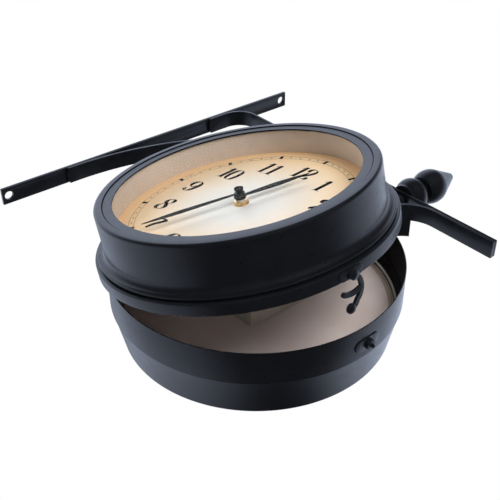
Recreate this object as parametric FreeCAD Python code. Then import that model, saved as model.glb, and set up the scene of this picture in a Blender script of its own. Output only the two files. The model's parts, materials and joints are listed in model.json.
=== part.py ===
import FreeCAD
import Part
import math
import os

# Double-sided wall clock on a flat-bar bracket. Two half drums, hinged together on the wall side and
# latched on the outer side, each hold a glass, a dial and a battery movement. The front half is the door,
# and it stands ajar. Millimetres, +Z up, +X out from the wall, the front dial faces -Y. The origin lies on
# the wall plate's back face, midway between its two screw holes.

# Fits, and the overrun of cuts
sliding_clearance = 0.1
running_clearance = 0.05
mesh_clearance = 0.3
cut_overrun = 1.0

# Flat bar of the bracket
bar_width = 16.0
bar_thickness = 3.0
bar_bend_radius = 20.0
bar_end_radius = 16.0

# Wall plate
plate_length = 346.0
plate_hole_diameter = 8.5
plate_hole_inset = 6.5

# Place of the drum, and how far the door stands open
drum_reach = 244.0
drum_drop = 65.6
parting_offset = 17.2
ajar_angle = 12.345

# Support arm
arm_overhang = 101.0
arm_flange_length = 46.0

# Curved brace
brace_foot_height = -107.0
brace_foot_length = 12.0
brace_long_turn = 27.0
brace_flange_length = 14.0
brace_gap = 1.1

# Hanger straps between arm and drum
hanger_rise = 55.4
hanger_flange_length = 22.0
hanger_bend_radius = 33.0
hanger_leg_offset = 5.0
hanger_foot_bend_radius = 4.0
hanger_foot_turn = 9.8
hanger_lug_height = 17.0
hanger_lug_start_angle = 38.0
hanger_lug_end_angle = 70.0
hanger_screw_angle = 9.5
hanger_screw_diameter = 4.0
hanger_screw_head_diameter = 8.0
hanger_screw_head_height = 2.4
hanger_screw_projection = 1.2
hanger_nut_width = 7.0
hanger_nut_height = 3.2

# Finial
finial_setback = 3.0
finial_foot_radius = 13.0
finial_foot_height = 3.0
finial_ball_radius = 16.0
finial_base_height = 22.2
finial_neck_radius = 8.0
finial_neck_height = 2.5
acorn_rim_radius = 12.5
acorn_radius = 16.4
acorn_height = 42.7
acorn_tip_radius = 4.3
acorn_tip_angle = 28.0
finial_stud_diameter = 6.0
finial_stud_depth = 12.0
finial_stud_projection = 1.0
finial_nut_width = 10.0
finial_nut_height = 5.0
acorn_belly_share = 0.25
acorn_shoulder_shares = (0.84, 0.48)

# Half drums
sheet_thickness = 0.8
skirt_radius = 120.0
wall_setback = 9.0
bezel_width = 14.5
bezel_flat_width = 7.1
front_depth = 41.4
rear_depth = 62.9
bezel_step = 0.8
bezel_edge_radius = 2.5
cove_radius = 5.4
bead_radius = 1.0
bead_height = 3.5
groove_depth = 0.8
shelf_height = 1.2
skirt_length = 8.2
rim_clearance = 1.1
rim_height = 28.2
rim_step = 0.7

# Glass, reflector ring and dial
glass_thickness = 2.0
glass_edge_clearance = 0.3
reflector_setback = 3.0
reflector_wall = 1.5
reflector_flange_thickness = 1.5
front_dial_height = 17.75
rear_dial_height = 44.0
dial_setback = 3.5
dial_thickness = 1.5
lip_gap = 3.9
lip_height = 3.1
lip_edge = 0.5

# Movement
case_depth = 16.0
case_wall = 1.5
divider_gap = 0.95
bush_radius = 4.0
bush_height = 4.0
bush_washer_radius = 6.0
bush_washer_thickness = 0.8
bush_nut_width = 10.0
bush_nut_height = 2.2
arbor_radius = 1.6
arbor_height = 11.6
arbor_end_gap = 0.3
hour_tube_wall = 0.9
hour_tube_height = 6.8
wheel_thickness = 1.4
lower_wheel_gap = 3.0
wheel_distance = 12.0
hour_wheel_teeth = 40
hour_pinion_teeth = 10
minute_wheel_teeth = 36
minute_pinion_teeth = 12
tooth_depth_share = 0.10
pinion_depth_share = 0.25
setting_direction = 50.0
setting_arbor_radius = 1.5
setting_knob_radius = 6.0
setting_knob_height = 4.0
setting_knob_gap = 0.4
setting_knob_ridges = 24
knob_ridge_share = 0.07
battery_diameter = 14.0
battery_length = 49.0
battery_nub_radius = 2.7
battery_nub_height = 1.4
battery_room = 0.6
contact_thickness = 1.3
contact_width = 9.0
board_length = 18.0
board_height = 13.0
board_thickness = 1.0
coil_radius = 3.4
coil_flange_radius = 4.2
coil_flange_thickness = 1.0
coil_length = 16.0
coil_inset = 2.5

# Hands
hand_thickness = 0.6
hour_hand_shortfall = 20.0
hour_hand_width = 7.0
hour_hand_height = 5.8
hour_hand_hub_radius = 5.0
hour_hand_collet_height = 1.2
hour_hand_root_width = 3.0
hour_hand_belly_share = 0.52
minute_hand_tip_gap = 20.5
minute_hand_width = 5.6
minute_hand_height = 8.4
minute_hand_hub_radius = 4.2
minute_hand_collet_height = 1.0
minute_hand_root_width = 2.4
minute_hand_belly_share = 0.62
hand_tip_width = 0.5
hand_nut_neck_radius = 2.4
hand_nut_neck_height = 1.6
hand_nut_flare = 0.8
hand_nut_radius = 3.6
hand_nut_height = 4.0
hand_nut_wall = 1.0
hand_swell_share = 0.62
minute_hand_angle = 198.0
hour_hand_angle = 16.5

# Hinge on the wall side
hinge_direction = 196.1
pin_standoff = 3.7
pin_depth = 32.0
pin_diameter = 4.0
knuckle_diameter = 7.2
knuckle_gap = 0.3
leaf_thickness = 1.2
rear_leaf_width = 30.0
rear_leaf_top = 10.0
door_leaf_width = 17.0
door_knuckle_length = 9.4
door_leaf_drop = 27.4
rivet_radius = 1.3
rivet_head_radius = 2.4
rivet_head_height = 0.9
rivet_tail_height = 0.5
rear_rivet_spacing = 23.0
rear_rivet_depths = (15.0, 25.0)
door_rivet_spacing = 11.0

# Latch on the outer side: places run along the rim from the drum's middle, depths from the parting plane
latch_pivot_place = -3.0
latch_pivot_depth = 4.4
latch_plate_length = 22.0
latch_plate_height = 7.2
latch_plate_thickness = 0.8
latch_spacer_radius = 3.4
latch_spacer_thickness = 0.4
latch_pivot_radius = 1.5
latch_pivot_head_radius = 3.4
latch_pivot_head_height = 1.6
hook_eye_radius = 4.2
hook_eye_gap = 0.2
hook_thickness = 2.2
hook_width = 3.5
hook_length = 20.0
hook_ball_radius = 3.9
hook_ball_height = 3.6
hook_tip_radius = 2.0
hook_shank_shares = ((0.06, -0.03), (0.275, -0.45), (0.0, -0.98))
hook_tail_shares = ((-0.09, -1.10), (-0.316, -1.216))
hook_spur_shares = ((0.154, -0.62), (-0.232, -0.662), (-0.552, -0.562))
stud_place = 8.0
stud_depth = 17.7
stud_plate_length = 25.0
stud_plate_height = 10.4
stud_plate_thickness = 0.8
stud_plate_offset = -1.2
stud_plate_rise = 1.0
stud_collar_radius = 4.2
stud_peg_radius = 1.6
stud_peg_projection = 0.6
dome_share = 0.6

# Values worked out from those above
rim_radius = skirt_radius - sheet_thickness - rim_clearance
wall_radius = skirt_radius - wall_setback
opening_radius = wall_radius - bezel_width
bezel_step_radius = opening_radius + bezel_flat_width
reflector_radius = opening_radius + reflector_setback
dial_radius = wall_radius - dial_setback
lip_inner_radius = dial_radius + lip_gap
minute_hand_length = reflector_radius - minute_hand_tip_gap
hour_hand_length = minute_hand_length - hour_hand_shortfall
pin_radius_from_axis = skirt_radius + pin_standoff
arm_rise = rim_radius + hanger_rise
plate_hole_spacing = plate_length - 2 * plate_hole_inset
arm_underside = arm_rise - drum_drop
bar_middle = bar_thickness / 2
bar_front = bar_thickness + bar_middle
finial_reach = drum_reach - finial_setback
drum_axis = FreeCAD.Vector(drum_reach, -parting_offset, -drum_drop)
rear_taper_start = rim_height + rim_step
hinge_lean = math.radians(hinge_direction - 180)
pin_reach = pin_radius_from_axis * math.cos(hinge_lean)
pin_fall = pin_radius_from_axis * math.sin(hinge_lean)
pin_point = drum_axis + FreeCAD.Vector(-pin_reach, pin_depth, -pin_fall)
pin_axis = FreeCAD.Vector(math.sin(hinge_lean), 0, -math.cos(hinge_lean))
case_inside = (battery_length + battery_nub_height) / 2 + contact_thickness
case_half = case_inside + case_wall
trough_height = battery_diameter + battery_room
hour_wheel_share = hour_wheel_teeth / (hour_wheel_teeth + hour_pinion_teeth)
divider_top = mesh_clearance / 2 - wheel_distance * hour_wheel_share - divider_gap
trough = (divider_top - case_wall - trough_height, divider_top - case_wall)
hour_bore = arbor_radius + running_clearance
hour_tube_radius = hour_bore + hour_tube_wall
bush_bore = hour_tube_radius + running_clearance
setting_lean = math.radians(setting_direction)
setting_x = wheel_distance * math.cos(setting_lean)
setting_y = wheel_distance * math.sin(setting_lean)
hook_seat = skirt_radius + latch_plate_thickness + latch_spacer_thickness
hook_low = hook_seat + hook_eye_gap
hook_high = hook_low + hook_thickness

X_AXIS = FreeCAD.Vector(1, 0, 0)
Y_AXIS = FreeCAD.Vector(0, 1, 0)
Z_AXIS = FreeCAD.Vector(0, 0, 1)
ORIGIN = FreeCAD.Vector(0, 0, 0)

REAR_TURN = FreeCAD.Rotation(X_AXIS, 90).multiply(FreeCAD.Rotation(Y_AXIS, 180))
REAR = FreeCAD.Placement(drum_axis, REAR_TURN)
CLOSED = FreeCAD.Placement(drum_axis, FreeCAD.Rotation(X_AXIS, 90))
SWING = FreeCAD.Placement(ORIGIN, FreeCAD.Rotation(pin_axis, ajar_angle), pin_point)
DOOR = SWING.multiply(CLOSED)
AT_HINGE = FreeCAD.Placement(ORIGIN, FreeCAD.Rotation(Z_AXIS, hinge_direction))
HANGER = FreeCAD.Placement(FreeCAD.Vector(drum_reach, 0, -drum_drop), FreeCAD.Rotation(X_AXIS, 0))
AT_BRACKET = FreeCAD.Placement(ORIGIN, FreeCAD.Rotation(X_AXIS, 0))


def export(name, shape, place):
    """Moves a finished piece to its place and writes it as one node."""
    moved = shape.copy()
    moved.Placement = place.multiply(moved.Placement)
    moved.exportStep("parts/" + name + ".step")


def fused(pieces):
    """Joins solids that make one piece."""
    return pieces[0].multiFuse(pieces[1:]).removeSplitter()


def rod(radius, low, high, x=0, y=0):
    """Cylinder along Z between two heights."""
    return Part.makeCylinder(radius, high - low, FreeCAD.Vector(x, y, low))


def ring(outer, inner, low, high):
    """Tube along Z between two heights."""
    return rod(outer, low, high).cut(rod(inner, low - cut_overrun, high + cut_overrun))


def block(x, y, z):
    """Box given by its low and high place along each axis."""
    return Part.makeBox(x[1] - x[0], y[1] - y[0], z[1] - z[0], FreeCAD.Vector(x[0], y[0], z[0]))


def centred(length):
    """Low and high place of a length centred on zero."""
    return (-length / 2, length / 2)


def hexagon(width, low, high):
    """Six-sided prism along Z, given across its flats."""
    corner = width / 2 / math.cos(math.pi / 6)
    angles = [math.radians(60 * step) for step in range(7)]
    points = [FreeCAD.Vector(corner * math.cos(a), corner * math.sin(a), low) for a in angles]
    return Part.Face(Part.makePolygon(points)).extrude(FreeCAD.Vector(0, 0, high - low))


def outline(start, steps, lift):
    """Closed face in a plane. A step of two values ends a line; one of four is an arc's middle and end."""
    edges = []
    first = lift(*start)
    here = first
    for step in steps:
        end = lift(*step[-2:])
        if len(step) == 2:
            edges.append(Part.makeLine(here, end))
        else:
            edges.append(Part.Arc(here, lift(*step[:2]), end).toShape())
        here = end
    if here != first:
        edges.append(Part.makeLine(here, first))
    return Part.Face(Part.Wire(edges))


def turned(start, steps):
    """Solid of revolution about Z from an outline of radius and height."""
    section = outline(start, steps, lambda radius, height: FreeCAD.Vector(radius, 0, height))
    return section.revolve(ORIGIN, Z_AXIS, 360)


def corner_mid(centre, radius, angle):
    """Point on a circle, used as the midpoint of a rounded corner."""
    lean = math.radians(angle)
    return (centre[0] + radius * math.cos(lean), centre[1] + radius * math.sin(lean))


def domed(radius, low, height):
    """Round head whose top is a shallow dome."""
    rise = height * dome_share
    top = low + height
    curve = (radius**2 + rise**2) / (2 * rise)
    half = radius / 2
    crown = top - curve + math.sqrt(curve**2 - half**2)
    return turned((0, low), [(radius, low), (radius, top - rise), (half, crown, 0, top)])


def bent_bar(start, heading, moves, width):
    """Flat bar in the XZ plane from its middle line: a move is a straight run or a radius with its turn."""
    left = []
    right = []
    here = FreeCAD.Vector(start[0], 0, start[1])
    lean = math.radians(heading)

    def side(point, angle, offset):
        return FreeCAD.Vector(point.x - offset * math.sin(angle), 0, point.z + offset * math.cos(angle))

    for length, turn in moves:
        stops = [(here, lean)]
        if turn == 0:
            here = here + FreeCAD.Vector(math.cos(lean), 0, math.sin(lean)) * length
            stops.append((here, lean))
        else:
            bend = math.copysign(length, turn)
            centre = side(here, lean, bend)
            for share in (1 / 2, 1):
                angle = lean + math.radians(turn) * share
                stops.append((side(centre, angle, -bend), angle))
            here, lean = stops[-1]
        for edges, offset in ((left, bar_middle), (right, -bar_middle)):
            points = [side(point, angle, offset) for point, angle in stops]
            if turn == 0:
                edges.append(Part.makeLine(*points))
            else:
                edges.append(Part.Arc(*points).toShape())
    cap = Part.makeLine(left[-1].lastVertex(True).Point, right[-1].lastVertex(True).Point)
    foot = Part.makeLine(left[0].firstVertex(True).Point, right[0].firstVertex(True).Point)
    face = Part.Face(Part.Wire(Part.__sortEdges__(left + [cap] + right + [foot])))
    bar = face.extrude(FreeCAD.Vector(0, width[1] - width[0], 0))
    bar.translate(FreeCAD.Vector(0, width[0], 0))
    return bar


def rounded_foot(bar, low):
    """Rounds the lower end of a bar that stands on the wall plate."""
    corners = block((bar_thickness, 2 * bar_thickness), centred(bar_width), (low, low + bar_width / 2))
    start = FreeCAD.Vector(0, 0, low + bar_end_radius)
    return bar.cut(corners.cut(Part.makeCylinder(bar_end_radius, bar_front + bar_thickness, start, X_AXIS)))


def radial(shape, angle, radius, depth=0):
    """Stands a piece made along Z on the drum's rim, pointing outwards at an angle from three o'clock."""
    standing = shape.copy()
    standing.rotate(ORIGIN, Y_AXIS, 90)
    standing.translate(FreeCAD.Vector(radius, 0, -depth))
    standing.rotate(ORIGIN, Z_AXIS, angle)
    return standing


def rim_plate(length, height, thickness, radius, place, depth):
    """Oval plate bent to lie on a rim at three o'clock."""
    flat = height / 2
    reach = length / 2 - flat
    oval = block((0, radius + cut_overrun + thickness), centred(2 * reach), (-flat, flat))
    for end in (-reach, reach):
        disc = rod(flat, 0, radius + cut_overrun + thickness)
        disc.rotate(ORIGIN, Y_AXIS, 90)
        disc.translate(FreeCAD.Vector(0, end, 0))
        oval = oval.fuse(disc)
    oval.translate(FreeCAD.Vector(0, place, -depth))
    shell = ring(radius + thickness, radius, -depth - height, -depth + height)
    return oval.common(shell).removeSplitter()


def toothed_wheel(teeth, radius, depth, low, high):
    """Wheel with straight-sided teeth."""
    points = []
    pitch = 2 * math.pi / teeth
    for tooth in range(teeth):
        root = radius - depth
        for share, reach in ((0, root), (1 / 4, radius), (1 / 2, radius), (3 / 4, root)):
            angle = pitch * (tooth + share)
            points.append(FreeCAD.Vector(reach * math.cos(angle), reach * math.sin(angle), low))
    points.append(points[0])
    return Part.Face(Part.makePolygon(points)).extrude(FreeCAD.Vector(0, 0, high - low))


def build_bracket():
    """Wall plate, arm, brace and the two hanger straps with their screws."""
    plate = block((0, bar_thickness), centred(bar_width), centred(plate_length))
    for height in centred(plate_hole_spacing):
        start = FreeCAD.Vector(-cut_overrun, 0, height)
        hole = Part.makeCylinder(plate_hole_diameter / 2, bar_thickness + 2 * cut_overrun, start, X_AXIS)
        plate = plate.cut(hole)
    export("wall_plate", plate, AT_BRACKET)

    bend = bar_bend_radius + bar_middle
    arm_height = arm_underside + bar_middle
    arm_start = (bar_front, arm_height - arm_flange_length)
    arm_run = drum_reach + arm_overhang - bar_front - bend
    arm_moves = [(arm_flange_length - bend, 0), (bend, -90), (arm_run, 0)]
    arm = rounded_foot(bent_bar(arm_start, 90, arm_moves, centred(bar_width)), arm_start[1])
    hole_ends = (arm_underside - cut_overrun, arm_underside + bar_thickness + cut_overrun)
    stud_hole = rod(finial_stud_diameter / 2 + sliding_clearance, *hole_ends, finial_reach)
    export("support_arm", arm.cut(stud_hole), AT_BRACKET)

    bend_x = hanger_leg_offset + hanger_bend_radius
    strap_reach = bend_x + hanger_flange_length
    run = drum_reach - strap_reach - brace_gap - brace_flange_length - bar_front
    rise = arm_underside - bar_middle - brace_foot_height - brace_foot_length
    sine = math.sin(math.radians(brace_long_turn))
    cosine = math.cos(math.radians(brace_long_turn))
    scale = cosine * sine - (1 - cosine) * (1 - sine)
    brace_moves = [
        (brace_foot_length, 0),
        ((cosine * rise - (1 - sine) * run) / scale, -brace_long_turn),
        ((sine * run - (1 - cosine) * rise) / scale, brace_long_turn - 90),
        (brace_flange_length, 0),
    ]
    brace = bent_bar((bar_front, brace_foot_height), 90, brace_moves, centred(bar_width))
    export("curved_brace", rounded_foot(brace, brace_foot_height), AT_BRACKET)

    foot_middle = rim_radius + sliding_clearance + bar_middle
    fillet_x = hanger_leg_offset + hanger_foot_bend_radius
    fillet_z = math.sqrt((foot_middle + hanger_foot_bend_radius) ** 2 - fillet_x**2)
    foot_angle = math.degrees(math.atan2(fillet_z, fillet_x))
    top = arm_rise - bar_middle
    bend_z = top - hanger_bend_radius
    moves = [
        (hanger_bend_radius, 90),
        (bend_z - fillet_z, 0),
        (hanger_foot_bend_radius, foot_angle),
        (foot_middle, -hanger_foot_turn),
    ]

    def strap(reach):
        return bent_bar((reach, top), 180, [(reach - bend_x, 0), *moves], centred(bar_width))

    lug_start = corner_mid((bend_x, bend_z), hanger_bend_radius, 90 + hanger_lug_start_angle)
    lug_turn = hanger_lug_end_angle - hanger_lug_start_angle
    lug_width = (bar_width / 2, bar_width / 2 + hanger_lug_height)
    lug = bent_bar(lug_start, 180 + hanger_lug_start_angle, [(hanger_bend_radius, lug_turn)], lug_width)

    head_seat = foot_middle + bar_middle
    nut_corner = hanger_nut_width / 2 / math.cos(math.pi / 6)
    nut_seat = math.sqrt((rim_radius - sheet_thickness) ** 2 - nut_corner**2)
    shank_end = nut_seat - hanger_nut_height - hanger_screw_projection
    screws = []
    nuts = []
    holes = []
    for side in (-1, 1):
        angle = side * hanger_screw_angle
        shank = rod(hanger_screw_diameter / 2, shank_end, head_seat)
        head = domed(hanger_screw_head_diameter / 2, head_seat, hanger_screw_head_height)
        nut = hexagon(hanger_nut_width, nut_seat - hanger_nut_height, nut_seat)
        nut = nut.cut(rod(hanger_screw_diameter / 2, shank_end, head_seat))
        hole = rod(hanger_screw_diameter / 2 + sliding_clearance, shank_end, head_seat + cut_overrun)
        for piece, group in ((fused([shank, head]), screws), (nut, nuts), (hole, holes)):
            piece.rotate(ORIGIN, Y_AXIS, angle)
            group.append(piece)
    outer = fused([strap(arm_overhang), lug])
    inner = strap(strap_reach).mirror(ORIGIN, X_AXIS)
    export("hanger_outer_strap", outer.cut(holes[1]), HANGER)
    export("hanger_inner_strap", inner.cut(holes[0]), HANGER)
    export("hanger_screws", Part.makeCompound(screws), HANGER)
    export("hanger_nuts", Part.makeCompound(nuts), HANGER)
    return holes


def build_finial():
    """Round base and acorn on the arm, held by a stud and a nut below the arm."""
    seat = arm_underside + bar_thickness
    place = FreeCAD.Placement(FreeCAD.Vector(finial_reach, 0, seat), FreeCAD.Rotation(X_AXIS, 0))
    bore = finial_stud_diameter / 2
    waist = (finial_foot_height + finial_base_height) / 2
    base = turned(
        (bore, 0),
        [
            (finial_foot_radius, 0),
            (finial_foot_radius, finial_foot_height),
            (finial_ball_radius, waist, finial_neck_radius, finial_base_height),
            (bore, finial_base_height),
        ],
    )
    export("finial_base", base, place)

    collar = finial_base_height + finial_neck_height
    belly = collar + acorn_height * acorn_belly_share
    shoulder = (acorn_radius * acorn_shoulder_shares[0], collar + acorn_height * acorn_shoulder_shares[1])
    shank_end = finial_base_height + finial_stud_depth
    tip = collar + acorn_height
    tip_centre = (0, tip - acorn_tip_radius)
    tip_middle = (acorn_tip_angle + 90) / 2
    acorn = turned(
        (0, finial_base_height),
        [
            (finial_neck_radius, finial_base_height),
            (finial_neck_radius, collar),
            (acorn_rim_radius, collar),
            (acorn_radius, belly, *shoulder),
            corner_mid(tip_centre, acorn_tip_radius, acorn_tip_angle),
            (*corner_mid(tip_centre, acorn_tip_radius, tip_middle), 0, tip),
        ],
    )
    export("finial_acorn", acorn.cut(rod(bore, 0, shank_end)), place)
    low = -bar_thickness - finial_nut_height - finial_stud_projection
    export("finial_stud", rod(bore, low, shank_end), place)
    nut = hexagon(finial_nut_width, -bar_thickness - finial_nut_height, -bar_thickness)
    export("finial_nut", nut.cut(rod(bore, low, 0)), place)


def bezel_steps(depth):
    """Outer side of the bezel, from its opening over the step and the rounded edge to the wall."""
    centre = (wall_radius - bezel_edge_radius, depth - bezel_edge_radius)
    return [
        (opening_radius, depth - bezel_step),
        (bezel_step_radius, depth - bezel_step),
        (bezel_step_radius + bezel_step, depth),
        (centre[0], depth),
        (*corner_mid(centre, bezel_edge_radius, 45), wall_radius, centre[1]),
    ]


def bezel_return(depth):
    """Inner side of the bezel, from the wall back to the step; the outline closes at the opening."""
    radius = bezel_edge_radius - sheet_thickness
    centre = (wall_radius - bezel_edge_radius, depth - bezel_edge_radius)
    under = depth - sheet_thickness
    return [
        (wall_radius - sheet_thickness, centre[1]),
        (*corner_mid(centre, radius, 45), centre[0], under),
        (bezel_step_radius + bezel_step, under),
        (bezel_step_radius, under - bezel_step),
    ]


def front_shell():
    """Door shell: bezel, straight wall, cove, bead, groove, shelf and the skirt over the rear rim."""
    bead_middle = wall_radius + cove_radius
    cove_centre = (bead_middle, bead_height + bead_radius + cove_radius)
    bead_centre = (bead_middle, bead_height)
    groove = bead_middle - groove_depth
    corner_centre = (skirt_radius - shelf_height, 0)
    under = shelf_height - sheet_thickness
    steps = bezel_steps(front_depth)
    steps += [
        (wall_radius, cove_centre[1]),
        (*corner_mid(cove_centre, cove_radius, 225), bead_middle, bead_height + bead_radius),
        (*corner_mid(bead_centre, bead_radius, 0), bead_middle, bead_height - bead_radius),
        (groove, bead_height - bead_radius),
        (groove, shelf_height),
        (corner_centre[0], shelf_height),
        (*corner_mid(corner_centre, shelf_height, 45), skirt_radius, 0),
        (skirt_radius, -skirt_length),
        (skirt_radius - sheet_thickness, -skirt_length),
        (skirt_radius - sheet_thickness, under),
        (groove - sheet_thickness, under),
        (wall_radius - sheet_thickness, bead_height + bead_radius),
    ]
    steps += bezel_return(front_depth)
    return turned((opening_radius, front_depth - bezel_step - sheet_thickness), steps)


def rear_shell():
    """Rear shell: bezel, tapered wall, small step and the rim band that the skirt closes over."""
    low = rim_radius - sheet_thickness
    steps = bezel_steps(rear_depth)
    steps += [
        (rim_radius - rim_step, rear_taper_start),
        (rim_radius, rim_height),
        (rim_radius, 0),
        (low, 0),
        (low, rim_height),
        (low - rim_step, rear_taper_start),
    ]
    steps += bezel_return(rear_depth)
    return turned((opening_radius, rear_depth - bezel_step - sheet_thickness), steps)


def rear_inside(height):
    """Inner radius of the rear half's tapered wall at a height."""
    low = rim_radius - rim_step - sheet_thickness
    high = wall_radius - sheet_thickness
    share = (height - rear_taper_start) / (rear_depth - bezel_edge_radius - rear_taper_start)
    return low + (high - low) * share


def build_face(half, place, depth, dial_height, flange_radius, lip):
    """Glass, reflector ring and dial of one half."""
    glass_top = depth - bezel_step - sheet_thickness
    glass_low = glass_top - glass_thickness
    glass = rod(bezel_step_radius - glass_edge_clearance, glass_low, glass_top)
    export(half + "_glass", glass, place)

    flange_top = dial_height + reflector_flange_thickness
    outer = reflector_radius + reflector_wall
    wall = [(outer, flange_top), (outer, glass_low), (reflector_radius, glass_low)]
    reflector = turned((reflector_radius, dial_height), lip + [(flange_radius, flange_top)] + wall)
    export(half + "_reflector_ring", reflector, place)
    dial = ring(dial_radius, bush_radius + sliding_clearance, dial_height - dial_thickness, dial_height)
    export(half + "_dial", dial, place)


def build_movement(half, place, dial_height):
    """Battery movement behind a dial, with its bush, washer and nut on the dial's face."""
    back = dial_height - dial_thickness
    floor = back - case_wall
    rear = back - case_depth
    cover_top = rear + case_wall
    bush_top = dial_height + bush_height

    case = block(centred(2 * case_half), (trough[0] - case_wall, case_half), (rear, back))
    upper_room = block(centred(2 * case_inside), (divider_top, case_inside), (rear - cut_overrun, floor))
    lower_room = block(centred(2 * case_inside), trough, (rear - cut_overrun, floor))
    case = case.cut(upper_room).cut(lower_room).fuse(rod(bush_radius, back, bush_top)).removeSplitter()
    case = case.cut(rod(bush_bore, floor - cut_overrun, bush_top + cut_overrun))
    export(half + "_movement_case", case, place)

    cover_half = case_inside - sliding_clearance
    cover = block(centred(2 * cover_half), (divider_top + sliding_clearance, cover_half), (rear, cover_top))
    hole_ends = (rear - cut_overrun, cover_top + cut_overrun)
    setting_hole = rod(setting_arbor_radius + running_clearance, *hole_ends, setting_x, setting_y)
    export(half + "_movement_cover", cover.cut(setting_hole), place)

    washer_top = dial_height + bush_washer_thickness
    washer = ring(bush_washer_radius, bush_radius, dial_height, washer_top)
    export(half + "_bush_washer", washer, place)
    nut_top = washer_top + bush_nut_height
    nut = hexagon(bush_nut_width, washer_top, nut_top)
    export(half + "_bush_nut", nut.cut(rod(bush_radius, dial_height, nut_top + cut_overrun)), place)

    battery_y = trough[0] + trough_height / 2
    battery_z = floor - trough_height / 2
    nub_end = battery_length / 2 + battery_nub_height
    battery = rod(battery_diameter / 2, *centred(battery_length))
    battery = battery.fuse(rod(battery_nub_radius, 0, nub_end)).removeSplitter()
    battery.rotate(ORIGIN, Y_AXIS, 90)
    battery.translate(FreeCAD.Vector(-battery_nub_height / 2, battery_y, battery_z))
    export(half + "_battery", battery, place)
    tall = (battery_y - contact_width / 2, battery_y + contact_width / 2)
    deep = (battery_z - contact_width / 2, battery_z + contact_width / 2)
    right = block((case_inside - contact_thickness, case_inside), tall, deep)
    left = block((-case_inside, contact_thickness - case_inside), tall, deep)
    export(half + "_battery_contacts", Part.makeCompound([left, right]), place)

    board_x = (-case_inside, board_length - case_inside)
    board = block(board_x, (case_inside - board_height, case_inside), (floor - board_thickness, floor))
    export(half + "_circuit_board", board, place)
    coil = rod(coil_radius, *centred(coil_length))
    for end in (-coil_length / 2, coil_length / 2 - coil_flange_thickness):
        coil = coil.fuse(rod(coil_flange_radius, end, end + coil_flange_thickness))
    coil = coil.removeSplitter()
    coil.rotate(ORIGIN, X_AXIS, 90)
    coil_x = coil_flange_radius + coil_inset - case_inside
    coil.translate(FreeCAD.Vector(coil_x, 0, floor - coil_flange_radius))
    export(half + "_drive_coil", coil, place)
    build_motion_work(half, place, dial_height)


def wheel_radius(teeth, mate):
    """Tip radius of a wheel that stops just short of its mate."""
    return wheel_distance * teeth / (teeth + mate) - mesh_clearance / 2


def build_motion_work(half, place, dial_height):
    """Minute arbor, hour tube and setting knob with the wheels that gear them together."""
    back = dial_height - dial_thickness
    floor = back - case_wall
    rear = back - case_depth
    upper = (floor - arbor_end_gap - wheel_thickness, floor - arbor_end_gap)
    lower = (upper[0] - lower_wheel_gap - wheel_thickness, upper[0] - lower_wheel_gap)

    radius = wheel_radius(minute_pinion_teeth, minute_wheel_teeth)
    pinion = toothed_wheel(minute_pinion_teeth, radius, radius * pinion_depth_share, *lower)
    arbor_low = rear + case_wall + arbor_end_gap
    arbor = fused([rod(arbor_radius, arbor_low, dial_height + arbor_height), pinion])
    export(half + "_minute_arbor", arbor, place)

    radius = wheel_radius(hour_wheel_teeth, hour_pinion_teeth)
    wheel = toothed_wheel(hour_wheel_teeth, radius, radius * tooth_depth_share, *upper)
    tube_top = dial_height + hour_tube_height
    tube = fused([rod(hour_tube_radius, upper[0], tube_top), wheel])
    export(half + "_hour_tube", tube.cut(rod(hour_bore, rear, tube_top + cut_overrun)), place)

    radius = wheel_radius(hour_pinion_teeth, hour_wheel_teeth)
    pinion = toothed_wheel(hour_pinion_teeth, radius, radius * pinion_depth_share, *upper)
    radius = wheel_radius(minute_wheel_teeth, minute_pinion_teeth)
    wheel = toothed_wheel(minute_wheel_teeth, radius, radius * tooth_depth_share, *lower)
    knob_top = rear - setting_knob_gap
    knob_low = knob_top - setting_knob_height
    ridge = setting_knob_radius * knob_ridge_share
    knob = toothed_wheel(setting_knob_ridges, setting_knob_radius, ridge, knob_low, knob_top)
    setting = fused([rod(setting_arbor_radius, knob_low, upper[1]), pinion, wheel, knob])
    setting.translate(FreeCAD.Vector(setting_x, setting_y, 0))
    export(half + "_setting_knob", setting, place)


def hand_blade(length, width, root_width, belly_share):
    """Leaf-shaped blade along +Y: narrow at the hub, widest at its belly, fine at the tip."""
    belly = length * belly_share
    root = root_width / 2
    swell = root + (width / 2 - root) * hand_swell_share
    tip = hand_tip_width / 2
    fade = tip + (width / 2 - tip) * hand_swell_share
    above = (belly + length) / 2
    steps = [
        (root, 0),
        (swell, belly / 2, width / 2, belly),
        (fade, above, tip, length),
        (-tip, length),
        (-fade, above, -width / 2, belly),
        (-swell, belly / 2, -root, 0),
    ]
    face = outline((-root, 0), steps, lambda x, y: FreeCAD.Vector(x, y, 0))
    return face.extrude(FreeCAD.Vector(0, 0, hand_thickness))


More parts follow.
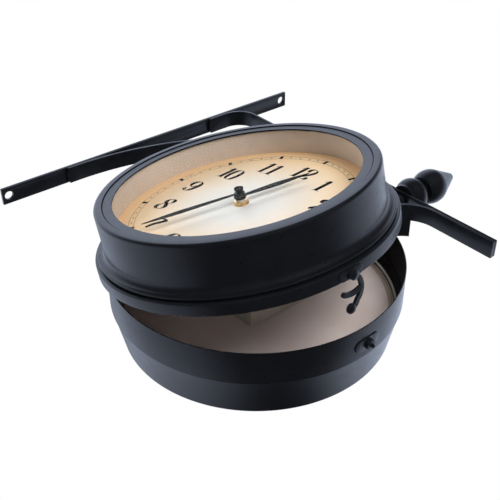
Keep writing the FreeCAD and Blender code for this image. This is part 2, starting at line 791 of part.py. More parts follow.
def build_hands(half, place, dial_height):
    """Hour hand on its tube, minute hand on its arbor, and the cup nut above them."""
    hour_low = dial_height + hour_hand_height
    blade = hand_blade(hour_hand_length, hour_hand_width, hour_hand_root_width, hour_hand_belly_share)
    blade.translate(FreeCAD.Vector(0, 0, hour_low))
    hub = rod(hour_hand_hub_radius, hour_low, hour_low + hand_thickness)
    collet = rod(hour_hand_hub_radius - hand_thickness, hour_low - hour_hand_collet_height, hour_low)
    hour = fused([blade, hub, collet]).cut(rod(hour_tube_radius, dial_height, hour_low + cut_overrun))
    hour.rotate(ORIGIN, Z_AXIS, -hour_hand_angle)
    export(half + "_hour_hand", hour, place)

    minute_low = dial_height + minute_hand_height
    minute_top = minute_low + hand_thickness
    blade = hand_blade(
        minute_hand_length, minute_hand_width, minute_hand_root_width, minute_hand_belly_share
    )
    blade.translate(FreeCAD.Vector(0, 0, minute_low))
    hub = rod(minute_hand_hub_radius, minute_low, minute_top)
    collet_low = minute_low - minute_hand_collet_height
    collet = rod(minute_hand_hub_radius - hand_thickness, collet_low, minute_low)
    minute = fused([blade, hub, collet]).cut(rod(arbor_radius, dial_height, minute_top + cut_overrun))
    minute.rotate(ORIGIN, Z_AXIS, -minute_hand_angle)
    export(half + "_minute_hand", minute, place)

    arbor_top = dial_height + arbor_height
    neck_top = minute_top + hand_nut_neck_height
    nut_top = minute_top + hand_nut_height
    nut_inside = hand_nut_radius - hand_nut_wall
    nut = turned(
        (arbor_radius, minute_top),
        [
            (hand_nut_neck_radius, minute_top),
            (hand_nut_neck_radius, neck_top),
            (hand_nut_radius, neck_top + hand_nut_flare),
            (hand_nut_radius, nut_top),
            (nut_inside, nut_top),
            (nut_inside, arbor_top),
            (arbor_radius, arbor_top),
        ],
    )
    export(half + "_hand_nut", nut, place)


def rivets(radius, grip, places):
    """Rivets standing on the rim around the hinge: head outside, tail inside."""
    group = []
    for place, depth in places:
        angle = math.degrees(math.asin(place / radius))
        shank = rod(rivet_radius, -grip, 0)
        head = domed(rivet_head_radius, 0, rivet_head_height)
        tail = rod(rivet_radius + rivet_tail_height, -grip - rivet_tail_height, -grip)
        group.append(radial(fused([shank, head, tail]), angle, radius, depth))
    return group


def rivet_holes(group, shape):
    """Cuts the rivets' own shape out of the sheet that they hold."""
    for rivet in group:
        shape = shape.cut(rivet)
    return shape


def build_hinge():
    """Two leaves, a pin and rivets. Returns the rivets of both halves, for the shells' holes."""
    knuckle = knuckle_diameter / 2
    rear_half_width = rear_leaf_width / 2
    door_half = door_knuckle_length / 2
    inner_end = door_half + knuckle_gap
    leaf_out = rim_radius + leaf_thickness
    bridge = leaf_thickness

    def barrel(low, high, radius):
        start = FreeCAD.Vector(pin_radius_from_axis, low, -pin_depth)
        return Part.makeCylinder(radius, high - low, start, Y_AXIS)

    rear_spots = [(side * rear_rivet_spacing / 2, depth) for side in (-1, 1) for depth in rear_rivet_depths]
    rear_rivets = rivets(leaf_out, leaf_thickness + sheet_thickness, rear_spots)
    band = ring(leaf_out, rim_radius, -pin_depth - bridge, -rear_leaf_top)
    rear_leaf = band.common(
        block((0, leaf_out + cut_overrun), centred(rear_leaf_width), (-pin_depth - bridge, -rear_leaf_top))
    )
    for low, high in ((-rear_half_width, -inner_end), (inner_end, rear_half_width)):
        web = block((rim_radius, pin_radius_from_axis), (low, high), (-pin_depth - bridge, -pin_depth))
        web = web.cut(rod(rim_radius, -pin_depth - 2 * bridge, 0))
        rear_leaf = rear_leaf.fuse(web).fuse(barrel(low, high, knuckle))
    rear_leaf = rear_leaf.removeSplitter().cut(barrel(-rear_leaf_width, rear_leaf_width, pin_diameter / 2))
    export("hinge_rear_leaf", rivet_holes(rear_rivets, rear_leaf), CLOSED.multiply(AT_HINGE))
    export("hinge_rear_rivets", Part.makeCompound(rear_rivets), CLOSED.multiply(AT_HINGE))
    pin = barrel(-rear_half_width, rear_half_width, pin_diameter / 2)
    export("hinge_pin", pin, CLOSED.multiply(AT_HINGE))

    door_out = skirt_radius + leaf_thickness
    door_spots = [(side * door_rivet_spacing / 2, skirt_length / 2) for side in (-1, 1)]
    door_rivets = rivets(door_out, leaf_thickness + sheet_thickness, door_spots)
    band = ring(door_out, skirt_radius, -pin_depth, 0)
    wide = block((0, door_out + cut_overrun), centred(door_leaf_width), (-door_leaf_drop, 0))
    tongue = block((0, door_out + cut_overrun), centred(door_knuckle_length), (-pin_depth, 0))
    door_leaf = band.common(wide.fuse(tongue)).fuse(barrel(-door_half, door_half, knuckle)).removeSplitter()
    bore = barrel(-rear_leaf_width, rear_leaf_width, pin_diameter / 2 + running_clearance)
    door_leaf = door_leaf.cut(bore)
    export("hinge_door_leaf", rivet_holes(door_rivets, door_leaf), DOOR.multiply(AT_HINGE))
    export("hinge_door_rivets", Part.makeCompound(door_rivets), DOOR.multiply(AT_HINGE))
    return rear_rivets, door_rivets


def on_rim(shape, place, height):
    """Stands a piece made along Z on the rim at three o'clock."""
    standing = shape.copy()
    standing.rotate(ORIGIN, Y_AXIS, 90)
    standing.translate(FreeCAD.Vector(0, place, height))
    return standing


def hook_point(share):
    """Place and height of a point of the hook's middle line, in shares of its length from the pivot."""
    return (latch_pivot_place + hook_length * share[0], hook_length * share[1] - latch_pivot_depth)


def hook_strip(shares):
    """Flat strip with round ends along an arc of the hook's middle line."""
    line = [FreeCAD.Vector(*hook_point(share), 0) for share in shares]
    circle = Part.Circle(*line)
    half = hook_width / 2

    def beside(point, offset):
        out = point - circle.Center
        spot = point + out.normalize() * offset
        return (spot.x, spot.y)

    def cap(end, other):
        along = (end - circle.Center).cross(Z_AXIS).normalize()
        if along.dot(end - other) < 0:
            along = along * -1
        spot = end + along * half
        return (spot.x, spot.y)

    outer = [beside(point, half) for point in line]
    inner = [beside(point, -half) for point in line]
    steps = [
        (*outer[1], *outer[2]),
        (*cap(line[2], line[1]), *inner[2]),
        (*inner[1], *inner[0]),
        (*cap(line[0], line[1]), *outer[0]),
    ]
    face = outline(outer[0], steps, lambda place, height: FreeCAD.Vector(hook_low, place, height))
    return face.extrude(X_AXIS * hook_thickness)


def build_latch():
    """Hook on the door's skirt and the catch stud on the rear band, each on an oval plate."""
    seat = skirt_radius + latch_plate_thickness
    head = hook_high + hook_eye_gap
    pivot_spot = (latch_pivot_place, -latch_pivot_depth)

    inside = skirt_radius - sheet_thickness
    shank = rod(latch_pivot_radius, inside, head)
    cap = domed(latch_pivot_head_radius, head, latch_pivot_head_height)
    pivot = on_rim(fused([shank, cap]), *pivot_spot)
    plate_size = (latch_plate_length, latch_plate_height, latch_plate_thickness)
    plate = rim_plate(*plate_size, skirt_radius, latch_pivot_place, latch_pivot_depth)
    spacer = on_rim(ring(latch_spacer_radius, latch_pivot_radius, seat, hook_seat), *pivot_spot)
    export("latch_plate", plate.cut(pivot), DOOR)
    export("latch_spacer", spacer, DOOR)
    export("latch_pivot", pivot, DOOR)

    tail = (hook_shank_shares[-1], *hook_tail_shares)
    pieces = [hook_strip(shares) for shares in (hook_shank_shares, tail, hook_spur_shares)]
    pieces.append(on_rim(rod(hook_eye_radius, hook_low, hook_high), *pivot_spot))
    ball = domed(hook_ball_radius, hook_low, hook_ball_height)
    pieces.append(on_rim(ball, *hook_point(hook_tail_shares[-1])))
    tip = rod(hook_tip_radius, hook_low, hook_high)
    pieces.append(on_rim(tip, *hook_point(hook_spur_shares[-1])))
    bore = rod(latch_pivot_radius + running_clearance, hook_low - cut_overrun, hook_high + cut_overrun)
    export("latch_hook", fused(pieces).cut(on_rim(bore, *pivot_spot)), DOOR)

    plate_place = stud_place + stud_plate_offset
    plate_depth = stud_depth - stud_plate_rise
    stud_plate = rim_plate(
        stud_plate_length, stud_plate_height, stud_plate_thickness, rim_radius, plate_place, plate_depth
    )
    collar_top = hook_low - hook_eye_gap
    shank = rod(stud_peg_radius, rim_radius - rim_clearance - sheet_thickness, collar_top)
    collar = rod(stud_collar_radius, rim_radius, collar_top)
    peg = domed(stud_peg_radius, collar_top, hook_high + stud_peg_projection - collar_top)
    stud = on_rim(fused([shank, collar, peg]), stud_place, -stud_depth)
    export("stud_plate", stud_plate.cut(stud), CLOSED)
    export("catch_stud", stud, CLOSED)
    return pivot, stud


def cut_all(shape, pieces, turn):
    """Cuts pieces that are placed in another frame out of a shape."""
    for piece in pieces:
        cutter = piece.copy()
        cutter.Placement = turn.multiply(cutter.Placement)
        shape = shape.cut(cutter)
    return shape


def main():
    os.makedirs("parts", exist_ok=True)
    screw_holes = build_bracket()
    build_finial()
    rear_rivets, door_rivets = build_hinge()
    pivot, stud = build_latch()

    rear_frame = REAR.inverse()
    shell = cut_all(rear_shell(), screw_holes, rear_frame.multiply(HANGER))
    shell = cut_all(shell, rear_rivets, rear_frame.multiply(CLOSED).multiply(AT_HINGE))
    export("rear_shell", cut_all(shell, [stud], rear_frame.multiply(CLOSED)), REAR)
    shell = cut_all(front_shell(), door_rivets, AT_HINGE)
    export("front_shell", shell.cut(pivot), DOOR)

    front_flange = wall_radius - sheet_thickness - sliding_clearance
    front_lip = [(front_flange, front_dial_height)]
    build_face("front", DOOR, front_depth, front_dial_height, front_flange, front_lip)

    flange_top = rear_dial_height + reflector_flange_thickness
    rear_flange = rear_inside(flange_top) - sliding_clearance
    lip_low = rear_dial_height - dial_thickness
    lip_end = lip_low - lip_height
    lip_out = rear_inside(lip_end) - sliding_clearance
    lip = [
        (lip_inner_radius, rear_dial_height),
        (lip_inner_radius, lip_low),
        (lip_out - lip_edge, lip_end),
        (lip_out, lip_end),
    ]
    build_face("rear", REAR, rear_depth, rear_dial_height, rear_flange, lip)
    for half, place, height in (("front", DOOR, front_dial_height), ("rear", REAR, rear_dial_height)):
        build_movement(half, place, height)
        build_hands(half, place, height)


main()
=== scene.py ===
"""Looks of a double-sided wall clock: turned shells, softened ironwork, printed dials, finishes and studio light."""

import json
import logging
import math
from dataclasses import dataclass, field
from enum import Enum
from typing import Sequence

import bmesh
import bpy
from mathutils import Matrix, Vector


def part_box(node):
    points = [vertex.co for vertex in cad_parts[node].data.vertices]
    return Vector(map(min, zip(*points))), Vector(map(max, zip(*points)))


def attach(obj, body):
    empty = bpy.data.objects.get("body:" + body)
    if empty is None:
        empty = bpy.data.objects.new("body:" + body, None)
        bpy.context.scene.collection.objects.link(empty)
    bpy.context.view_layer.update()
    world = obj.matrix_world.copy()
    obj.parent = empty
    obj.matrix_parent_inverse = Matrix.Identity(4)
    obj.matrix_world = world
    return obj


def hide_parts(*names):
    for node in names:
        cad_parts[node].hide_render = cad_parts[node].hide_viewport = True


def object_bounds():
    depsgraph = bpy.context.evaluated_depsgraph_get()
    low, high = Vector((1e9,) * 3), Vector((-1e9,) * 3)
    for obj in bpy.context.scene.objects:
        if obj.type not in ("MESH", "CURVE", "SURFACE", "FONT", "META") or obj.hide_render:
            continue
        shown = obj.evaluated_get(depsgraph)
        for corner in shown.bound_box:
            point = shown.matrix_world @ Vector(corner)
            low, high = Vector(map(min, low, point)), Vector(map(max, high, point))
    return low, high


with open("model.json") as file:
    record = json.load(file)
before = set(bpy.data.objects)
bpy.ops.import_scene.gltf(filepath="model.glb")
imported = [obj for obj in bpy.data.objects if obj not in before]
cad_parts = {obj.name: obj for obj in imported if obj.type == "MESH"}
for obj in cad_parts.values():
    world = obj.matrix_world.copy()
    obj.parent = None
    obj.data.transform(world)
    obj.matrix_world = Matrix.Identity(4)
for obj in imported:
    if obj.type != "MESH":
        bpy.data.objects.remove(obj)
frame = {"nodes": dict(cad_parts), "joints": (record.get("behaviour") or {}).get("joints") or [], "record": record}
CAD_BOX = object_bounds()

LOG = logging.getLogger("wall_clock")
ROOT_BODY = "bracket_and_rear_half"
DOOR_BODY = "front_door"
MM = 0.001
SAME_POINT = 1e-6
ON_AXIS = 1e-9
EASED_SMOOTH = 21.0
TURNED_SMOOTH = 28.0
BLACK = (0.0, 0.0, 0.0)
WHITE = (1.0, 1.0, 1.0)
NUMBER, WHOLE, COLOUR = "NodeSocketFloat", "NodeSocketInt", "NodeSocketColor"
VECTOR, MATERIAL, GEOMETRY = "NodeSocketVector", "NodeSocketMaterial", "NodeSocketGeometry"

Colour = tuple[float, float, float]
Spot = tuple[float, float, float]
Point = tuple[float, float]
Step = tuple[float, ...]
Inputs = bpy.types.NodeInputs
Material = bpy.types.Material
Mesh = bpy.types.Mesh
Node = bpy.types.Node
Object = bpy.types.Object
Outputs = bpy.types.NodeOutputs
Socket = bpy.types.NodeSocket
Tree = bpy.types.NodeTree


class Half(Enum):
    """The two halves of the drum."""

    FRONT = "front"
    REAR = "rear"


class Slot(Enum):
    """Finishes that the record names."""

    BLACK = "black_paint"
    CREAM = "cream_paint"
    DIAL = "dial_card"
    GLASS = "clear_glass"
    BRASS = "polished_brass"
    HANDS = "hand_black"
    PLASTIC = "pale_plastic"
    BATTERY = "battery_jacket"
    ZINC = "zinc_steel"
    BOARD = "board_green"
    COPPER = "coil_copper"


class MarkShape(Enum):
    """Shapes of the marks on the minute track."""

    BAR = "bar"
    DOT = "dot"


class Bench:
    """Places and joins the nodes of one tree."""

    def __init__(self, tree: Tree) -> None:
        """Starts on the tree that receives the nodes."""
        self.tree = tree

    def node(self, kind: str, inputs: dict | None = None, **settings: object) -> Node:
        """Adds a node.

        Args:
            kind: Blender's name for the node type.
            inputs: Value or source socket for each input, by name or index.
            **settings: Properties of the node itself.

        Returns:
            The new node.
        """
        node = self.tree.nodes.new(kind)
        for key, value in settings.items():
            setattr(node, key, value)
        for key, value in (inputs or {}).items():
            self.feed(node.inputs[key], value)
        return node

    def feed(self, socket: Socket, value: object) -> None:
        """Gives an input its value or its source.

        Args:
            socket: The input.
            value: A constant, or the output socket to join to it.
        """
        if isinstance(value, Socket):
            self.tree.links.new(value, socket)
        elif socket.type == "RGBA" and len(value) == 3:
            socket.default_value = (*value, 1.0)
        else:
            socket.default_value = value

    def maths(self, operation: str, *values: object) -> Socket:
        """Adds a Math node with its constants or source sockets, and returns its output."""
        return self.node("ShaderNodeMath", dict(enumerate(values)), operation=operation).outputs[0]

    def mix(self, share: object, first: object, second: object) -> Socket:
        """Mixes two colours by the share of the second, and returns the mixed colour."""
        return self.node("ShaderNodeMix", {0: share, 6: first, 7: second}, data_type="RGBA").outputs[2]

    def spread(
        self, value: object, low: object, high: object, start: object, end: object, way: str = "SMOOTHSTEP"
    ) -> Socket:
        """Maps low to start and high to end, clamped, and returns the mapped value."""
        inputs = {"Value": value, 1: low, 2: high, 3: start, 4: end}
        return self.node("ShaderNodeMapRange", inputs, interpolation_type=way).outputs[0]

    def place(self) -> Socket:
        """Object coordinates of the surface point."""
        return self.node("ShaderNodeTexCoord").outputs["Object"]

    def noise(self, place: object, scale: object, detail: float, roughness: float = 0.5) -> Socket:
        """Adds a noise of so many patches per metre, and returns its value."""
        inputs = {"Vector": place, "Scale": scale, "Detail": detail, "Roughness": roughness}
        return self.node("ShaderNodeTexNoise", inputs).outputs[0]


def new_tree(
    name: str, kind: str, inputs: dict[str, str], outputs: dict[str, str]
) -> tuple[Bench, Outputs, Inputs]:
    """Makes an empty node group.

    Args:
        name: Name of the group.
        kind: Blender's name for the tree type.
        inputs: Socket type of each input.
        outputs: Socket type of each output.

    Returns:
        The bench, the sockets that the group is given, and the sockets that it puts out.
    """
    tree = bpy.data.node_groups.new(name, kind)
    for way, sockets in (("INPUT", inputs), ("OUTPUT", outputs)):
        for label, socket in sockets.items():
            tree.interface.new_socket(label, in_out=way, socket_type=socket)
    bench = Bench(tree)
    return bench, bench.node("NodeGroupInput").outputs, bench.node("NodeGroupOutput").inputs


def new_object(name: str, data: bpy.types.ID) -> Object:
    """Makes an object and puts it in the scene.

    Args:
        name: Name of the object.
        data: Its mesh, light or camera.

    Returns:
        The object.
    """
    thing = bpy.data.objects.new(name, data)
    bpy.context.scene.collection.objects.link(thing)
    return thing


class SharedEffects:
    """Shader node groups that several finishes use."""

    PATCH_RANGE = (0.32, 0.68)
    PATCH_NOISE = (5.0, 0.6)
    SMEAR_RANGE = (0.3, 0.7)
    SMEAR_SCALE, SMEAR_DETAIL = 4.3, 3.0
    FINE_SCALE, FINE_DETAIL = 21.0, 2.0

    def __init__(self) -> None:
        """Builds each group once."""
        self.grain = self._grain()
        self.fade = self._fade()

    def _grain(self) -> Tree:
        """Mottled colour, uneven gloss and fine relief.

        Returns:
            The group.
        """
        bench, given, end = new_tree(
            "surface_grain",
            "ShaderNodeTree",
            {"Scale": NUMBER, "Colour": COLOUR, "Shade": COLOUR, "Rough Low": NUMBER, "Rough High": NUMBER},
            {"Colour": COLOUR, "Roughness": NUMBER, "Height": NUMBER, "Patch": NUMBER},
        )
        place, scale = bench.place(), given["Scale"]
        patch = bench.noise(place, scale, *self.PATCH_NOISE)
        share = bench.spread(patch, *self.PATCH_RANGE, 0.0, 1.0)
        smear = bench.noise(place, bench.maths("MULTIPLY", scale, self.SMEAR_SCALE), self.SMEAR_DETAIL)
        rough = bench.spread(smear, *self.SMEAR_RANGE, given["Rough Low"], given["Rough High"], "LINEAR")
        fine = bench.noise(place, bench.maths("MULTIPLY", scale, self.FINE_SCALE), self.FINE_DETAIL)
        colour = bench.mix(share, given["Colour"], given["Shade"])
        for label, value in (("Colour", colour), ("Roughness", rough), ("Height", fine), ("Patch", share)):
            bench.feed(end[label], value)
        return bench.tree

    def _fade(self) -> Tree:
        """Share that grows from a centre outwards.

        Returns:
            The group.
        """
        inputs = {"Centre": VECTOR, "Inner": NUMBER, "Outer": NUMBER}
        bench, given, end = new_tree("radial_fade", "ShaderNodeTree", inputs, {"Fade": NUMBER})
        ends = {0: bench.place(), 1: given["Centre"]}
        reach = bench.node("ShaderNodeVectorMath", ends, operation="DISTANCE").outputs["Value"]
        bench.feed(end["Fade"], bench.spread(reach, given["Inner"], given["Outer"], 0.0, 1.0))
        return bench.tree

    def faded(self, bench: Bench, centre: Spot, inner: float, outer: float) -> Socket:
        """Places the fade group, its centre and distances in metres, and returns its share."""
        inputs = {"Centre": centre, "Inner": inner, "Outer": outer}
        return bench.node("ShaderNodeGroup", inputs, node_tree=self.fade).outputs["Fade"]


@dataclass(frozen=True)
class Finish:
    """A mottled, slightly uneven surface that stands for paint, plastic or metal."""

    name: str
    colour: Colour
    shade: Colour
    scale: float = 60.0
    rough: Point = (0.3, 0.42)
    metallic: float = 0.0
    specular: float = 0.5
    relief: float = 0.02
    wear: Colour | None = None

    def build(self, effects: SharedEffects) -> Material:
        """Makes the material.

        Args:
            effects: The shared node groups.

        Returns:
            The material.
        """
        material = bpy.data.materials.new(self.name)
        material.use_nodes = True
        material.diffuse_color = (*self.colour, 1.0)
        bench = Bench(material.node_tree)
        shader = bench.tree.nodes["Principled BSDF"]
        shader.inputs["Metallic"].default_value = self.metallic
        shader.inputs["Specular IOR Level"].default_value = self.specular
        values = {"Scale": self.scale, "Colour": self.colour, "Shade": self.shade}
        values |= {"Rough Low": self.rough[0], "Rough High": self.rough[1]}
        grain = bench.node("ShaderNodeGroup", values, node_tree=effects.grain).outputs
        bench.feed(shader.inputs["Base Color"], self._tint(bench, effects, grain))
        bench.feed(shader.inputs["Roughness"], grain["Roughness"])
        self._surface(bench, shader, grain)
        return material

    def _tint(self, bench: Bench, effects: SharedEffects, grain: Outputs) -> Socket:
        """Colour of the surface, paler where it is worn.

        Args:
            bench: The material's bench.
            effects: The shared node groups, not used here.
            grain: What the grain group puts out.

        Returns:
            The colour's socket.
        """
        if not self.wear:
            return grain["Colour"]
        rubbed = bench.node("ShaderNodeAttribute", attribute_name="wear").outputs["Fac"]
        share = bench.maths("MULTIPLY", rubbed, grain["Patch"])
        return bench.mix(share, grain["Colour"], self.wear)

    def _surface(self, bench: Bench, shader: Node, grain: Outputs) -> None:
        """Joins the fine relief to the shader."""
        inputs = {"Height": grain["Height"], "Strength": 1.0, "Distance": self.relief * MM}
        bench.feed(shader.inputs["Normal"], bench.node("ShaderNodeBump", inputs).outputs["Normal"])


@dataclass(frozen=True)
class DialFinish(Finish):
    """Card that is pale in the middle and warmer towards its edge, with the reach of each tone in millimetres."""

    centre: Spot = (0.0, 0.0, 0.0)
    edge: Colour = (0.95, 0.67, 0.38)
    edge_reach: Point = (14.0, 98.0)
    rim: Colour = (0.80, 0.49, 0.22)
    rim_reach: Point = (80.0, 104.0)

    def _tint(self, bench: Bench, effects: SharedEffects, grain: Outputs) -> Socket:
        """Colour of the card.

        Args:
            bench: The material's bench.
            effects: The shared node groups.
            grain: What the grain group puts out.

        Returns:
            The colour's socket.
        """
        colour = grain["Colour"]
        for tone, (inner, outer) in ((self.edge, self.edge_reach), (self.rim, self.rim_reach)):
            colour = bench.mix(effects.faded(bench, self.centre, inner * MM, outer * MM), colour, tone)
        return colour


@dataclass(frozen=True)
class GlassFinish(Finish):
    """Clear glass that lets light through to the dial."""

    ior: float = 1.02
    coat: float = 0.02

    def _surface(self, bench: Bench, shader: Node, grain: Outputs) -> None:
        """Makes the shader clear, and open to shadow and diffuse rays.

        Args:
            bench: The material's bench.
            shader: The shader node.
            grain: What the grain group puts out, not used here.
        """
        for label, value in (("Transmission Weight", 1.0), ("IOR", self.ior), ("Coat Weight", self.coat)):
            shader.inputs[label].default_value = value
        path = bench.node("ShaderNodeLightPath").outputs
        through = bench.maths("MAXIMUM", path["Is Shadow Ray"], path["Is Diffuse Ray"])
        clear = bench.node("ShaderNodeBsdfTransparent")
        inputs = {0: through, 1: shader.outputs[0], 2: clear.outputs[0]}
        mixed = bench.node("ShaderNodeMixShader", inputs)
        bench.feed(bench.tree.nodes["Material Output"].inputs["Surface"], mixed.outputs[0])


class Palette:
    """All finishes of the clock, built once."""

    OF_SLOT: dict[Slot, Finish] = {
        Slot.BLACK: Finish(
            "black_enamel", (0.008, 0.0085, 0.011), (0.010, 0.011, 0.014), 45.0, (0.27, 0.33),
            specular=0.25, relief=0.004, wear=(0.014, 0.016, 0.020),
        ),
        Slot.CREAM: Finish(
            "cream_enamel", (0.57, 0.475, 0.40), (0.52, 0.43, 0.355), 30.0, (0.42, 0.55), relief=0.01
        ),
        Slot.BRASS: Finish("worn_brass", (0.70, 0.50, 0.24), (0.58, 0.40, 0.20), 160.0, (0.22, 0.36), 1.0),
        Slot.HANDS: Finish(
            "slate_black", (0.008, 0.010, 0.010), (0.014, 0.017, 0.016), 120.0, (0.45, 0.58), specular=0.02
        ),
        Slot.PLASTIC: Finish("putty_plastic", (0.66, 0.60, 0.53), (0.60, 0.54, 0.47), 90.0, (0.45, 0.6)),
        Slot.BATTERY: Finish("battery_jacket", (0.06, 0.08, 0.10), (0.09, 0.11, 0.13), 90.0, (0.25, 0.35)),
        Slot.ZINC: Finish("zinc_plate", (0.55, 0.55, 0.53), (0.42, 0.43, 0.44), 220.0, (0.3, 0.48), 1.0),
        Slot.BOARD: Finish("circuit_board", (0.03, 0.16, 0.06), (0.05, 0.22, 0.09), 300.0, (0.35, 0.5)),
        Slot.COPPER: Finish("coil_wire", (0.72, 0.34, 0.16), (0.55, 0.22, 0.10), 700.0, (0.25, 0.4), 1.0),
        Slot.GLASS: GlassFinish("dial_glass", WHITE, (0.97, 0.99, 0.98), 25.0, (0.0, 0.02)),
    }
    INK = Finish("dial_ink", (0.006, 0.006, 0.006), (0.012, 0.011, 0.010), 400.0, (0.6, 0.75), specular=0.0)
    CARD = Finish("card_back", (0.86, 0.75, 0.71), (0.82, 0.69, 0.64), 26.0, (0.5, 0.65))
    # Darker, flatter copy of the black enamel for the shell's inside: painted shade inside the drum.
    INNER = Finish("inner_black", (0.004, 0.004, 0.005), (0.007, 0.007, 0.008), 60.0, (0.6, 0.75), specular=0.1)
    LIP = Finish("lip_metal", (0.84, 0.82, 0.79), (0.74, 0.72, 0.69), 90.0, (0.3, 0.45))
    # Dark band along the lip's groove: painted shade in the groove.
    GROOVE = Finish("lip_groove", (0.15, 0.135, 0.12), (0.11, 0.10, 0.09), 90.0, (0.4, 0.55))
    FACE = ((0.86, 0.855, 0.845), (0.85, 0.83, 0.80), 40.0, (0.48, 0.62))

    def __init__(self, centres: dict[str, Vector]) -> None:
        """Builds the materials.

        Args:
            centres: Centre of each half's dial face.
        """
        self.effects = effects = SharedEffects()
        self.of = {slot: finish.build(effects) for slot, finish in self.OF_SLOT.items()}
        # self.inner is painted shade inside the drum; self.groove is painted shade in the lip's groove.
        self.ink, self.card, self.inner, self.lip, self.groove = (
            finish.build(effects) for finish in (self.INK, self.CARD, self.INNER, self.LIP, self.GROOVE)
        )
        self.dials = {
            half: DialFinish(f"{half}_dial_face", *self.FACE, centre=tuple(centre)).build(effects)
            for half, centre in centres.items()
        }
        self.of[Slot.DIAL] = self.card


class Workshop:
    """Hands out finished pieces: objects at the origin that ride on their bodies."""

    def __init__(self, palette: Palette) -> None:
        """Reads the body and the finish of each node.

        Args:
            palette: The materials.
        """
        record = frame["record"]
        bodies = record["behaviour"]["bodies"]
        self.palette = palette
        self.carrier = {node: body for body, nodes in bodies.items() for node in nodes}
        self.slots = {entry["node"]: Slot(entry["material_slot"]) for entry in record["subparts"]}

    def publish(
        self,
        name: str,
        mesh: Mesh,
        body: str,
        slot: Slot,
        replaced: Sequence[str] = (),
        materials: Sequence[Material] = (),
    ) -> None:
        """Makes a piece of the clock from a mesh.

        Args:
            name: Name of the piece.
            mesh: Its mesh, in place.
            body: The body it rides on.
            slot: The record's finish.
            replaced: The CAD nodes that it stands for.
            materials: Materials in slot order, or none for the finish's own.
        """
        mesh.name = name
        if mesh.materials:
            mesh.materials.clear()
        for material in materials or (self.palette.of[slot],):
            mesh.materials.append(material)
        piece = new_object(name, mesh)
        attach(piece, body)
        if replaced:
            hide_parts(*replaced)
        LOG.info("piece %s on %s", name, body)

    def dress(self, node: str) -> None:
        """Gives a CAD node that stays as it is its finish.

        Args:
            node: Name of the node.
        """
        piece = frame["nodes"][node]
        material = self.palette.of[self.slots[node]]
        if not piece.material_slots:
            piece.data.materials.append(material)
        for place in piece.material_slots:
            place.material = material
        LOG.info("dressed %s", node)

    def soften(self, node: str, width: float) -> None:
        """Stands a copy in for a CAD node, its edges eased by a width in millimetres."""
        mesh = eased_copy(frame["nodes"][node].data, width * MM)
        self.publish(f"{node}_eased", mesh, self.carrier[node], self.slots[node], [node])


def eased_copy(source: Mesh, width: float) -> Mesh:
    """Copies a node's mesh, merges it and eases its sharp edges.

    Args:
        source: The node's mesh.
        width: Width of the eased edge in metres.

    Returns:
        The new mesh, with its eased faces marked as worn.
    """
    merge, flat, sharp, facets = 2e-6, math.radians(0.6), math.radians(34), 3
    mesh = source.copy()
    work = bmesh.new()
    work.from_mesh(mesh)
    bmesh.ops.remove_doubles(work, verts=work.verts, dist=merge)
    bmesh.ops.dissolve_limit(work, angle_limit=flat, verts=work.verts, edges=work.edges)
    edges = [e for e in work.edges if len(e.link_faces) == 2 and e.calc_face_angle(0.0) > sharp]
    rubbed: set[bmesh.types.BMFace] = set()
    if edges:
        result = bmesh.ops.bevel(
            work, geom=edges, offset=width, offset_type="OFFSET", segments=facets, profile=0.5,
            affect="EDGES", clamp_overlap=True, loop_slide=True,
        )
        rubbed = set(result["faces"])
    wear = work.verts.layers.float.new("wear")
    for face in rubbed:
        for corner in face.verts:
            corner[wear] = 1.0
    work.to_mesh(mesh)
    work.free()
    shade_by_angle(mesh, EASED_SMOOTH)
    return mesh


def shade_by_angle(mesh: Mesh, degrees: float) -> None:
    """Shades a mesh smooth, apart from edges sharper than an angle.

    Args:
        mesh: The mesh.
        degrees: The angle.
    """
    mesh.polygons.foreach_set("use_smooth", [True] * len(mesh.polygons))
    mesh.set_sharp_from_angle(angle=math.radians(degrees))
    mesh.update()


def arc_points(start: Point, middle: Point, end: Point) -> list[Point]:
    """Points of the arc through three points, the first left out.

    Args:
        start: First point.
        middle: A point on the way.
        end: Last point.

    Returns:
        The points.
    """
    step, full = 6.0, 2 * math.pi
    (ax, ay), (bx, by), (cx, cy) = start, middle, end
    spread = 2 * (ax * (by - cy) + bx * (cy - ay) + cx * (ay - by))
    squares = [x * x + y * y for x, y in (start, middle, end)]
    ox = (squares[0] * (by - cy) + squares[1] * (cy - ay) + squares[2] * (ay - by)) / spread
    oy = (squares[0] * (cx - bx) + squares[1] * (ax - cx) + squares[2] * (bx - ax)) / spread
    radius = math.hypot(ax - ox, ay - oy)
    first, via, last = (math.atan2(y - oy, x - ox) for x, y in (start, middle, end))
    turn = (last - first) % full
    if (via - first) % full > turn:
        turn -= full
    count = max(2, round(abs(math.degrees(turn)) / step))
    angles = [first + turn * i / count for i in range(1, count + 1)]
    return [(ox + radius * math.cos(a), oy + radius * math.sin(a)) for a in angles]


def circle_point(centre: Point, radius: float, degrees: float) -> Point:
    """Point of a circle at an angle in degrees."""
    angle = math.radians(degrees)
    return centre[0] + radius * math.cos(angle), centre[1] + radius * math.sin(angle)


